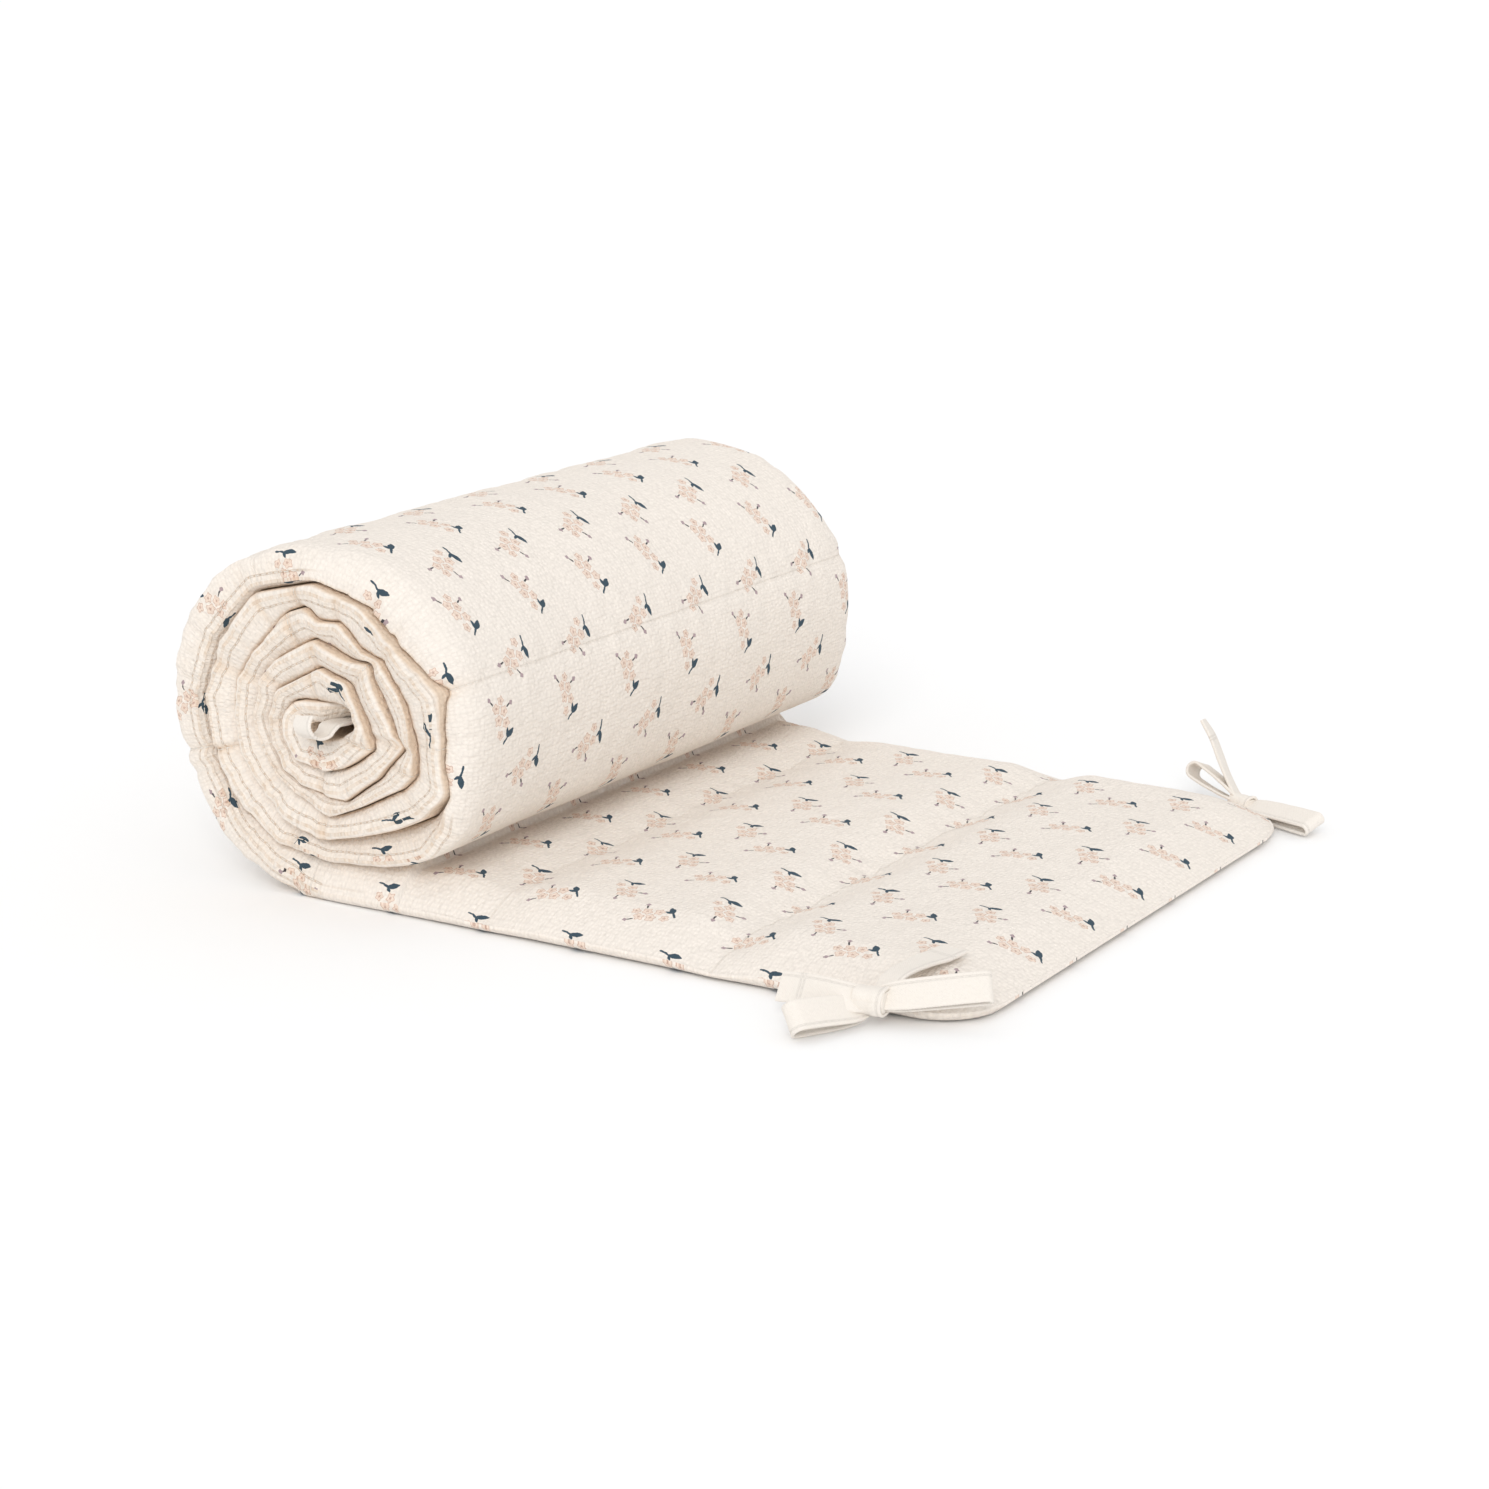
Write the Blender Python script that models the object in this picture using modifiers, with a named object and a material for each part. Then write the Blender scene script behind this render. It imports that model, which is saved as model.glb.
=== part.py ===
"""A crib bumper, partly rolled up: one quilted cotton band and the tape ties at its corners.

The band is one padded piece. It is wound about five times round its core, and its last stretch, the
tail, lies flat. The origin is on the flat underside, below the core: +X points along the tail, +Y along
the roll's axis to its far end and +Z up.
"""
import math

import bmesh
import bpy
from mathutils import Vector

# ---- Driving dimensions, in metres and degrees --------------------------------------------------
BAND_WIDTH = 0.300          # the bumper's height in use, and the roll's length
NEAR_CORNER = 0.026         # the radius of the rounded corners on the near side
FAR_CORNER = 0.036          # and on the far side
TAIL_END_X = 0.290          # the sewn end of the tail
CORE_X = 0.002              # the core of the roll
CORE_Z = 0.070
LAST_TURNED = 2064          # how far the band is wound, in degrees
LAYER_GAP = 0.0004          # between one turn and the next
SEAM_PITCH = 0.102          # between two rows of quilting
FIRST_SEAM = 0.108          # from the end of the tail to its first row of quilting
SEAM_REACH = 0.012          # how far a row draws the band in, to each side
SEAM_DRAW_OUT = 0.0012      # how deep it draws the outer face in
SEAM_DRAW_IN = 0.0030       # and the inner face
EDGE_ROUND = 0.009          # from the sewn edge to the full thickness
EDGE_POWER = 2.6            # of the edge's rounding: 2 is an ellipse, more is fuller
EDGE_ROWS = (0.0, 0.001, 0.0035, 0.009)  # the rows of points beside each sewn edge
EDGE_HALF = 0.0015          # half of the thickness at the sewn edge itself
EDGE_HEIGHT = 0.45          # where the edge seam lies in the thickness, from the outer face

TURN_STEP = 12              # degrees between two sections of the roll
COLUMN_STEP = 36            # degrees between two columns of the table below
FLAT_TO = 12                # the roll's flat spot ends here, in degrees
TOUCH_FROM = 324            # the roll touches the top of the tail from here on

# The gap outside each turn, in millimetres from the core, read round the way the band is wound:
# down, left, up, right and down again. Each row is one turn, and the first one is the outside.
TURN_RADII = (
    # 0     36    72    108   144   180   216   252   288   324
    (70.0, 69.6, 71.0, 73.0, 74.0, 71.0, 71.5, 73.0, 72.4, 62.5),
    (54.0, 55.5, 55.5, 56.5, 58.0, 58.0, 54.5, 62.0, 62.8, 47.8),
    (45.5, 43.4, 43.0, 43.4, 43.4, 47.2, 42.2, 45.0, 47.0, 36.2),
    (34.0, 30.5, 32.0, 32.8, 32.6, 35.2, 36.2, 34.4, 35.8, 29.0),
    (26.0, 24.6, 25.4, 25.0, 24.4, 24.4, 24.6, 25.2, 24.6, 19.0),
    (17.0, 16.6, 17.4, 17.2, 13.4, 10.8, 13.0, 18.6, 10.0, 5.5),
    (4.0, 5.2, 7.0, 5.6, 2.4, 1.2, 1.6, 6.0, 8.0, 8.0),
)

# The tail's sections: how far each is from the roll's foot and how thick the band is there (mm).
TAIL_SECTIONS = (
    # x, top
    (290.0, 12.0),
    (288.5, 12.3),
    (285.0, 12.8),
    (279.0, 13.6),
    (258.0, 14.8),
    (232.0, 15.2),
    (206.0, 14.2),
    (191.0, 11.8),
    (182.0, 8.4),
    (173.0, 11.8),
    (156.0, 14.6),
    (131.0, 15.6),
    (106.0, 14.6),
    (89.0, 11.8),
    (80.0, 8.4),
    (71.0, 12.2),
    (55.0, 16.2),
)

# How far the turns stand back from the near end of the roll (mm): a row for each change.
NEAR_SETBACK = (
    # turned, back
    (0, 0.0),
    (150, 0.0),
    (204, 3.5),
    (312, 3.5),
    (360, 0.5),
    (600, -1.0),
    (840, 1.0),
    (1080, -1.0),
    (1440, 0.5),
    (1800, -1.0),
    (2064, 0.5),
)

# ---- The ties' tape ----------------------------------------------------------------------------
TAPE_WIDTH = 0.0115
TAPE_THICK = 0.0012
TAPE_STEPS = 4              # sections between two rows of a route
KNOT_ROUND = 0.0022
KNOT_SEGMENTS = 2
RUN_APART = 0.8             # half of the gap between the middles of a loop's two runs at the knot (mm)
RUN_ROWS = 8                # sections in each run of a loop
TIP_STEP = 22.5             # degrees between two sections round a loop's tip

# A knot is a rounded block: its middle and size (mm) and how far it is turned on the floor (degrees).
NEAR_KNOT = ((257.0, -157.2, 8.4), (12.4, 10.4, 11.6), 8.0)
FAR_KNOT = ((271.4, 152.6, 5.2), (12.0, 8.0, 9.2), -28.0)

# A loop is a teardrop (mm): from the knot to its tip, the direction across the tape and the opening.
NEAR_LOOPS = (
    # knot x, y, z, tip x, y, z, across x, y, z, opening
    (254.0, -158.0, 6.8, 240.0, -191.0, 7.4, 0.62, -0.37, -0.69, 7.0),
    (258.0, -158.2, 8.6, 292.8, -141.4, 13.4, -0.33, 0.50, 0.80, 4.2),
)
FAR_LOOPS = (
    (270.0, 154.6, 6.0, 237.5, 162.2, 15.2, 0.10, 0.90, -0.34, 7.6),
    (272.0, 153.8, 5.4, 304.5, 138.6, 5.3, 0.28, -0.92, -0.26, 4.4),
)

# A free end is a list of rows in millimetres: the middle of the tape and the direction across it.
NEAR_LONG_END = (
    # x, y, z, across x, y, z
    (257.5, -157.5, 9.2, 0.0, 0.90, 0.40),
    (245.4, -160.6, 10.8, -0.20, 0.85, 0.46),
    (232.4, -160.8, 11.0, -0.20, 0.84, 0.46),
    (219.2, -161.2, 9.8, -0.30, 0.82, 0.46),
)
NEAR_SHORT_END = (
    (257.0, -156.0, 10.0, 0.95, -0.10, 0.20),
    (258.5, -149.0, 15.6, 0.96, -0.20, 0.16),
    (260.5, -136.0, 16.9, 0.97, -0.22, 0.06),
    (262.0, -124.0, 16.3, 0.97, -0.22, -0.04),
    (263.0, -112.0, 15.9, 0.96, -0.26, 0.0),
)
FAR_LONG_END = (
    (270.0, 154.6, 5.6, 0.10, 0.90, -0.40),
    (263.0, 157.0, 5.2, -0.05, 0.92, -0.35),
    (256.6, 158.2, 7.0, -0.18, 0.95, -0.20),
    (252.4, 158.8, 14.0, -0.25, 0.96, -0.10),
    (248.4, 159.2, 22.6, -0.26, 0.96, 0.0),
    (244.2, 159.4, 31.2, -0.30, 0.95, 0.0),
    (239.6, 159.4, 37.6, -0.42, 0.90, 0.0),
)
CORE_CURL = (
    (3.8, -124.0, 67.2, 1.0, 0.0, 0.0),
    (3.8, -134.0, 67.2, 1.0, 0.0, 0.0),
    (3.8, -143.0, 67.2, 1.0, 0.0, 0.0),
    (3.8, -150.5, 67.5, 1.0, 0.0, 0.0),
    (3.8, -156.4, 66.9, 1.0, -0.05, 0.0),
    (3.8, -160.4, 66.8, 1.0, -0.08, 0.0),
    (3.8, -162.4, 68.8, 1.0, -0.08, 0.0),
    (3.8, -161.4, 71.4, 1.0, -0.06, 0.04),
)

# ---- Colours (linear) and finishes ---------------------------------------------------------------
PRINTED_COTTON = (0.89, 0.81, 0.72, 1.0)
TAPE_COTTON = (0.93, 0.89, 0.83, 1.0)
CLOTH_ROUGHNESS = 0.85
SHARP_ANGLE = 50            # degrees: edges sharper than this stay sharp in the shading

MM = 0.001
TURN = 360


# ---- Scene helpers ---------------------------------------------------------------------------------
def clear_scene():
    for old in list(bpy.data.objects):
        bpy.data.objects.remove(old, do_unlink=True)


def new_collection(name):
    collection = bpy.data.collections.new(name)
    bpy.context.scene.collection.children.link(collection)
    return collection


def cloth_material(name, colour):
    material = bpy.data.materials.new(name)
    material.use_nodes = True
    shader = material.node_tree.nodes["Principled BSDF"]
    shader.inputs["Base Color"].default_value = colour
    shader.inputs["Roughness"].default_value = CLOTH_ROUGHNESS
    shader.inputs["Metallic"].default_value = 0.0
    material.diffuse_color = colour
    return material


def object_from_bmesh(name, shape, collection, material):
    bmesh.ops.recalc_face_normals(shape, faces=shape.faces)
    mesh = bpy.data.meshes.new(name)
    shape.to_mesh(mesh)
    shape.free()
    mesh.shade_smooth()
    mesh.set_sharp_from_angle(angle=math.radians(SHARP_ANGLE))
    thing = bpy.data.objects.new(name, mesh)
    thing.data.materials.append(material)
    collection.objects.link(thing)
    return thing


# ---- The wound section ---------------------------------------------------------------------------
def smooth_between(values, position):
    """The Catmull-Rom value at a position counted in entries of the list."""
    last = len(values) - 1
    index = min(int(position), last - 1)
    part = position - index
    before, start = values[max(index - 1, 0)], values[index]
    end, after = values[index + 1], values[min(index + 2, last)]
    return start + 0.5 * part * (
        end - before + part * (
            2 * before - 5 * start + 4 * end - after + part * (3 * (start - end) + after - before)))


def gap_radius(turned):
    """How far the gap between two turns is from the core, at an angle counted from the outside."""
    if turned <= FLAT_TO:
        return CORE_Z / math.cos(math.radians(turned))
    radii = [radius for row in TURN_RADII for radius in row]
    return smooth_between(radii, turned / COLUMN_STEP) * MM


def around_core(turned, radius):
    """The point (x, z) at an angle and distance from the core; angle 0 points down, 90 to -X."""
    angle = math.radians(turned)
    return Vector((CORE_X - radius * math.sin(angle), CORE_Z - radius * math.cos(angle)))


def from_table(table, turned):
    """The straight-line value of a two-column table."""
    for (start, low), (end, high) in zip(table, table[1:]):
        if turned <= end:
            return low + (high - low) * max(turned - start, 0) / (end - start)
    return table[-1][1]


def band_sections():
    """The band's sections from the tail's end to the core: dictionaries with the outer and inner
    point (x, z) in the middle of the band, the angle turned and the length so far."""
    sections = []
    for x, top in TAIL_SECTIONS:
        sections.append(dict(outer=Vector((x * MM, 0)), inner=Vector((x * MM, top * MM)), turned=0))
    for turned in range(TOUCH_FROM, TURN, TURN_STEP):
        inner = around_core(turned, gap_radius(turned) + LAYER_GAP / 2)
        sections.append(dict(outer=Vector((inner.x, 0)), inner=inner, turned=0))
    for turned in range(0, LAST_TURNED + 1, TURN_STEP):
        slack = LAYER_GAP / 2 if turned >= TOUCH_FROM else 0
        outer = around_core(turned, gap_radius(turned) - slack)
        inner = around_core(turned, gap_radius(turned + TURN) + LAYER_GAP / 2)
        sections.append(dict(outer=outer, inner=inner, turned=turned))
    length = 0
    middle = None
    for section in sections:
        here = section["outer"].lerp(section["inner"], 0.5)
        length += (here - middle).length if middle else 0
        section["length"] = length
        middle = here
    return sections


def draw_in_at_seams(sections):
    """Draw the roll's two faces together at each row of quilting, at the section nearest to it."""
    total = sections[-1]["length"]
    seam = FIRST_SEAM
    while seam < total - SEAM_REACH:
        nearest = min(sections, key=lambda section: abs(section["length"] - seam))
        for section in sections:
            share = 1 - abs(section["length"] - nearest["length"]) / SEAM_REACH
            if share > 0 and section["turned"] > FLAT_TO:
                across = section["inner"] - section["outer"]
                limit = across.length / (SEAM_DRAW_OUT + SEAM_DRAW_IN) / 2
                share = min(share, limit)
                across.normalize()
                section["outer"] += across * SEAM_DRAW_OUT * share
                section["inner"] -= across * SEAM_DRAW_IN * share
        seam += SEAM_PITCH


def edge_distance(length, from_side, total, radius):
    """How far a point of the flat band is from the band's rounded outline."""
    from_end = min(length, total - length)
    if from_end < radius and from_side < radius:
        return max(radius - math.hypot(radius - from_end, radius - from_side), 0)
    return min(from_end, from_side)


def side_inset(length, total, radius):
    """How far a rounded corner brings one long edge in at a section."""
    from_end = min(length, total - length)
    if from_end >= radius:
        return 0
    return radius - math.sqrt(radius ** 2 - (radius - from_end) ** 2)


def pillow(distance):
    """The share of the full thickness at a distance from the sewn edge."""
    if distance >= EDGE_ROUND:
        return 1
    return (1 - (1 - distance / EDGE_ROUND) ** EDGE_POWER) ** (1 / EDGE_POWER)


def ring_of(section, total):
    """One closed ring of the band's loft: along the outer face and back along the inner face."""
    length = section["length"]
    setback = from_table(NEAR_SETBACK, section["turned"]) * MM
    rows = []
    for side, radius, back in ((-1, NEAR_CORNER, setback), (1, FAR_CORNER, 0)):
        inset = side_inset(length, total, radius)
        for step in EDGE_ROWS if side < 0 else reversed(EDGE_ROWS):
            y = side * (BAND_WIDTH / 2 - inset - back - step)
            rows.append((y, pillow(edge_distance(length, inset + step, total, radius))))
    edge = section["outer"].lerp(section["inner"], EDGE_HEIGHT)
    outer_face, inner_face = [], []
    for y, fullness in rows:
        for face, side in ((outer_face, section["outer"]), (inner_face, section["inner"])):
            reach = side - edge
            share = max(fullness, EDGE_HALF / reach.length)
            point = edge + reach * min(share, 1)
            face.append((point.x, y, point.y))
    return outer_face + inner_face[::-1]


def add_loft(shape, rings):
    """Join rings of the same number of points into one closed body."""
    loops = [[shape.verts.new(point) for point in ring] for ring in rings]
    count = len(loops[0])
    for first, second in zip(loops, loops[1:]):
        for index in range(count):
            after = (index + 1) % count
            shape.faces.new((first[index], first[after], second[after], second[index]))
    shape.faces.new(loops[0][::-1])
    shape.faces.new(loops[-1])


def make_quilted_band(collection, material):
    sections = band_sections()
    draw_in_at_seams(sections)
    total = sections[-1]["length"]
    shape = bmesh.new()
    add_loft(shape, [ring_of(section, total) for section in sections])
    return object_from_bmesh("quilted_band", shape, collection, material)


# ---- The ties ------------------------------------------------------------------------------------
def route_points(route):
    """Smooth a free end's rows: a list of (middle, across) at even steps."""
    columns = list(zip(*route))
    count = (len(route) - 1) * TAPE_STEPS + 1
    points = []
    for index in range(count):
        values = [smooth_between(column, index / TAPE_STEPS) for column in columns]
        points.append((Vector(values[:3]) * MM, Vector(values[3:]).normalized()))
    return points


def loop_points(loop):
    """One loop as a list of (middle, across): the two runs part from the knot to the round tip."""
    knot, tip, across = Vector(loop[0:3]), Vector(loop[3:6]), Vector(loop[6:9])
    radius = loop[9] / 2
    along = (tip - knot).normalized()
    straight = (tip - knot).length - radius
    across = (across - along * across.dot(along)).normalized()
    apart = across.cross(along)
    run = []
    for row in range(RUN_ROWS):
        share = row / RUN_ROWS
        run.append((straight * share, RUN_APART + (radius - RUN_APART) * math.sin(share * math.pi / 2)))
    angle = 90.0
    while angle > 0:
        turn = math.radians(angle)
        run.append((straight + radius * math.cos(turn), radius * math.sin(turn)))
        angle -= TIP_STEP
    run += [(straight + radius, 0)] + [(reach, -gap) for reach, gap in reversed(run)]
    return [((knot + along * reach + apart * gap) * MM, across) for reach, gap in run]


def add_tape(shape, points):
    """Sweep the tape's flat section along a list of (middle, across)."""
    middles = [middle for middle, across in points]
    rings = []
    for index, (middle, across) in enumerate(points):
        after = middles[min(index + 1, len(middles) - 1)]
        along = (after - middles[max(index - 1, 0)]).normalized()
        across = (across - along * across.dot(along)).normalized()
        side = across * TAPE_WIDTH / 2
        face = along.cross(across) * TAPE_THICK / 2
        lower, upper = middle - face, middle + face
        rings.append([lower - side, lower + side, upper + side, upper - side])
    add_loft(shape, rings)


def make_tape(name, points, collection, material):
    shape = bmesh.new()
    add_tape(shape, points)
    return object_from_bmesh(name, shape, collection, material)


def make_bow(name, knot, loops, ends, collection, guides, material):
    """A knot block with the loops and free ends of one tape joined to it."""
    centre, size, turned = knot
    shape = bmesh.new()
    bmesh.ops.create_cube(shape, size=1)
    bmesh.ops.scale(shape, vec=[edge * MM for edge in size], verts=shape.verts)
    bow = object_from_bmesh(name, shape, collection, material)
    bow.location = [place * MM for place in centre]
    bow.rotation_euler.z = math.radians(turned)
    rounding = bow.modifiers.new("rounded_knot", "BEVEL")
    rounding.width = KNOT_ROUND
    rounding.segments = KNOT_SEGMENTS
    strands = [loop_points(loop) for loop in loops] + [route_points(end) for end in ends]
    for index, points in enumerate(strands):
        strand = make_tape(f"{name}_strand_{index + 1}", points, guides, material)
        strand.hide_render = True
        strand.display_type = "WIRE"
        joining = bow.modifiers.new(f"join_strand_{index + 1}", "BOOLEAN")
        joining.operation = "UNION"
        joining.object = strand
    return bow


def main():
    clear_scene()
    parts = new_collection("crib_bumper")
    guides = new_collection("guides")
    printed = cloth_material("printed_cotton", PRINTED_COTTON)
    tape = cloth_material("tape_cotton", TAPE_COTTON)
    make_quilted_band(parts, printed)
    near_ends = (NEAR_LONG_END, NEAR_SHORT_END)
    make_bow("near_corner_tie", NEAR_KNOT, NEAR_LOOPS, near_ends, parts, guides, tape)
    make_bow("far_corner_tie", FAR_KNOT, FAR_LOOPS, (FAR_LONG_END,), parts, guides, tape)
    make_tape("core_tie", route_points(CORE_CURL), parts, tape)


main()
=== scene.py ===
# %% [markdown]
# # A crib bumper, half rolled up
#
# A crib bumper is a long quilted pad that is tied along the rails of a cot. This one is laid out as it is
# sold or stored: most of it wound into a roll, the last stretch lying flat, with its tape ties done up in
# bows. The lesson dresses a plain model of it, the frame, with real cloth: a padded band with quilting,
# creases and a printed sprig, and tapes with hems and stitches. All sizes are in metres.

# %% Start from the frame
import math

import bmesh
import bpy
import numpy as np
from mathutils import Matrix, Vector, noise


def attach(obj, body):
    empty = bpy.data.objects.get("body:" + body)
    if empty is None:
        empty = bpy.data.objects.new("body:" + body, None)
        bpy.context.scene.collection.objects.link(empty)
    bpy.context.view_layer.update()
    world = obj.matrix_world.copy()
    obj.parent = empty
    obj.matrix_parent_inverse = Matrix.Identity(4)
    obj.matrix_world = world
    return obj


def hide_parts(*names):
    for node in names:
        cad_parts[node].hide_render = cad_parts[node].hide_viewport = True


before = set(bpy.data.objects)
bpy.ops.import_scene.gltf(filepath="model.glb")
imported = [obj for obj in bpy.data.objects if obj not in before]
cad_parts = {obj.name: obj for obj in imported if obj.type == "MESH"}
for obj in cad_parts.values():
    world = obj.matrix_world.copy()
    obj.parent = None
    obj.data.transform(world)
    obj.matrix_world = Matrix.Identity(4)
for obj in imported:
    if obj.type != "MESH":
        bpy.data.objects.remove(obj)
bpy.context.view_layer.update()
print("frame nodes:", sorted(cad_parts))

# %% [markdown]
# ## Camera, floor and light
#
# The camera comes first, so that every later step can be judged from the view that matters. It looks
# across the near end of the roll and down on the flat stretch. A long lens keeps the roll's far end nearly
# as large as its near end. The floor is plain and pale. The light is one wide lamp from the front, which
# shows the padding with soft shadows, and a bright even surrounding that fills them.

# %% Camera
scene = bpy.context.scene


def add_object(name, data):
    """An object of its own for a mesh, a lamp or a camera."""
    added = bpy.data.objects.new(name, data)
    scene.collection.objects.link(added)
    return added


VIEW_TURN = 31.5746         # degrees from +Y towards -X
VIEW_TILT = 15.1547         # degrees below the horizon
LENS = 77.7776              # millimetres
SENSOR_WIDTH = 36           # millimetres
CLIP_END = 50               # nothing is drawn beyond this distance
CAMERA_PLACE = (0.77538, -1.09069, 0.39092)

camera_data = bpy.data.cameras.new("camera")
camera_data.lens = LENS
camera_data.sensor_width = SENSOR_WIDTH
camera_data.clip_end = CLIP_END
camera = add_object("camera", camera_data)
camera.location = CAMERA_PLACE
camera.rotation_euler = (math.radians(90 - VIEW_TILT), 0, math.radians(VIEW_TURN))
scene.camera = camera
print("camera at", CAMERA_PLACE)


# %% Floor
def new_material(name, colour, roughness):
    """A material with one Principled shader: returns the material, its node tree and the shader."""
    material = bpy.data.materials.new(name)
    material.use_nodes = True
    shader = material.node_tree.nodes["Principled BSDF"]
    shader.inputs["Base Color"].default_value = (*colour, 1)
    shader.inputs["Roughness"].default_value = roughness
    return material, material.node_tree, shader


FLOOR_HALF = 30.0           # half of the floor's side
FLOOR_Z = -0.0002           # just under the bumper, so that the two faces don't flicker
floor_mesh = bpy.data.meshes.new("studio_floor")
corners = [(x * FLOOR_HALF, y * FLOOR_HALF, FLOOR_Z) for x, y in ((-1, -1), (1, -1), (1, 1), (-1, 1))]
floor_mesh.from_pydata(corners, [], [(0, 1, 2, 3)])
floor = add_object("studio_floor", floor_mesh)
floor_material, _, _ = new_material("studio_floor", (0.96, 0.96, 0.96), 0.9)
floor_mesh.materials.append(floor_material)

# %% Light
SUN_TURN = (54.0, 0.0, 26.0)    # degrees: tilted from straight down, then turned towards the camera's side
SUN_STRENGTH = 1.00
SUN_SPREAD = 30.0               # degrees: a wide source for soft shadows
SKY_STRENGTH = 0.88

sun_data = bpy.data.lights.new("window", "SUN")
sun_data.energy = SUN_STRENGTH
sun_data.angle = math.radians(SUN_SPREAD)
sun = add_object("window", sun_data)
sun.rotation_euler = tuple(math.radians(angle) for angle in SUN_TURN)

world = bpy.data.worlds.new("studio")
world.use_nodes = True
background = world.node_tree.nodes["Background"]
background.inputs["Color"].default_value = (1, 1, 1, 1)
background.inputs["Strength"].default_value = SKY_STRENGTH
scene.world = world
scene.view_settings.view_transform = "Standard"
print("light: sun", SUN_STRENGTH, "and sky", SKY_STRENGTH)

# %% [markdown]
# ## The wound section
#
# Seen from its end, the band is a spiral, but not a neat one. The wadding folds at the rows of quilting,
# so each turn is a rough polygon: nearly straight along a channel and bent at its ends. The table below
# gives the gap outside each turn as rows of (angle turned, distance from the core), with a row wherever
# the gap bends. Angles run on from turn to turn: 0 is straight down under the core, 90 is left, 180 is up.
# Reading between the rows and rounding the corners a little gives the outline of every turn at once, and
# two neighbouring turns always share one gap, so their outlines can't cross.

# %% The gaps between the turns
CORE = Vector((0.002, 0.070))   # x and z of the roll's core
TURN = 360
LAST_TURNED = 2064          # where the band ends at the core, in degrees
GAPS = (
    # turned (degrees), distance (mm)
    (0, 70.0), (24, 70.0), (48, 70.6), (72, 71.0), (96, 72.6), (120, 73.6), (148, 74.6), (180, 71.0),
    (204, 71.5), (228, 71.0), (252, 73.0), (276, 71.5), (300, 72.5), (312, 68.0), (324, 62.5), (336, 57.5),
    (348, 54.5), (360, 54.0), (384, 55.5), (408, 55.5), (432, 55.5), (456, 56.5), (480, 56.5), (510, 59.0),
    (540, 58.0), (564, 56.0), (588, 53.8), (610, 63.9), (636, 59.5), (646, 64.6), (660, 58.5), (672, 52.0),
    (684, 47.5), (696, 45.0), (720, 45.5), (744, 43.8), (768, 41.8), (792, 43.0), (816, 42.2), (832, 43.5),
    (852, 41.7), (869, 43.0), (881, 47.0), (894, 48.3), (901, 43.0), (915, 45.0), (932, 40.0), (945, 43.8),
    (954, 43.0), (970, 44.6), (994, 46.6), (1005, 48.2), (1014, 44.8), (1024, 39.7), (1045, 35.2),
    (1063, 34.5), (1072, 35.4), (1087, 31.3), (1101, 30.1), (1129, 29.0), (1165, 33.0), (1179, 31.4),
    (1203, 32.9), (1222, 32.4), (1257, 35.6), (1274, 33.0), (1289, 33.1), (1301, 38.6), (1310, 34.8),
    (1332, 34.8), (1347, 37.1), (1352, 42.0), (1359, 38.5), (1366, 35.4), (1379, 33.1), (1391, 30.5),
    (1415, 30.4), (1440, 26.5), (1464, 25.5), (1488, 26.0), (1530, 25.5), (1564, 24.1), (1622, 24.5),
    (1656, 24.7), (1690, 23.0), (1721, 26.5), (1741, 21.1), (1760, 18.8), (1786, 17.0), (1836, 17.5),
    (1872, 18.0), (1896, 18.0), (1925, 16.0), (1944, 13.0), (1980, 10.5), (2026, 15.2), (2040, 18.0),
    (2064, 17.0), (2088, 9.5), (2124, 5.5), (2160, 4.0), (2196, 4.6), (2232, 5.4), (2268, 4.6), (2304, 2.4),
    (2340, 1.2), (2376, 1.6), (2424, 6.0),
)
GAP_ROUNDING = 1.5          # degrees that a corner is smoothed over
LAYER_GAP = 0.0005          # between one turn and the next


def straight_gap(turned):
    """The gap's distance (metres) on the straight line between the two nearest rows of the table."""
    ahead = max(next(index for index, row in enumerate(GAPS) if row[0] >= turned), 1)
    (start, first), (end, last) = GAPS[ahead - 1], GAPS[ahead]
    before, after = math.radians(turned - start), math.radians(end - turned)
    return first * last * math.sin(before + after) / (
        first * math.sin(before) + last * math.sin(after)) / 1000


angles = np.arange(0, LAST_TURNED + TURN + 1)
round_line = np.interp(angles, [row[0] for row in GAPS], [row[1] / 1000 for row in GAPS])
straight_line = np.array([straight_gap(angle) for angle in angles])
gap_line = np.where(angles < TURN, round_line, straight_line)
reach = np.arange(-8, 9)
kernel = np.exp(-((reach / GAP_ROUNDING) ** 2) / 2)
kernel /= kernel.sum()
gap_line = np.convolve(np.pad(gap_line, len(reach) // 2, mode="edge"), kernel, mode="valid")


def gap_radius(turned):
    """The gap's distance from the core; the roll's foot is pressed flat on the floor."""
    if turned <= 12:
        return CORE.y / math.cos(math.radians(turned))
    return float(np.interp(turned, angles, gap_line))


def around_core(turned, radius):
    """The point (x, z) at an angle and a distance from the core."""
    angle = math.radians(turned)
    return Vector((CORE.x - radius * math.sin(angle), CORE.y - radius * math.cos(angle)))


print("turns:", round(LAST_TURNED / TURN, 2))

# %% [markdown]
# ## Sections of the band
#
# The band is made the way a baker would slice a roll: one section after another along its length, from the
# sewn end of the flat stretch to the core. A section is a pair of points, one on each face. On the flat
# stretch the lower face is on the floor and the upper one swells between the rows of quilting. In the roll
# the two points come from the gaps on both sides of the turn. The length along the band is summed up as
# we go, because the quilting and the print are spaced along the cloth and not along the roll.

# %% The flat stretch
TAIL_END_X = 0.290          # the sewn end
TAIL_TOUCH_X = 0.0385       # where the roll's outer turn comes down on it
SEAM_PITCH = 0.102          # between two rows of quilting
FIRST_SEAM_X = 0.182        # the first row from the end
TAIL_CROWN = 0.0156         # thickness in the middle of a channel
SEAM_THICK = 0.0092         # thickness at a row of quilting
END_THICK = 0.0120          # and at the sewn end
SEAM_SPREAD = 0.024         # how far a row's valley reaches to each side


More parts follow.
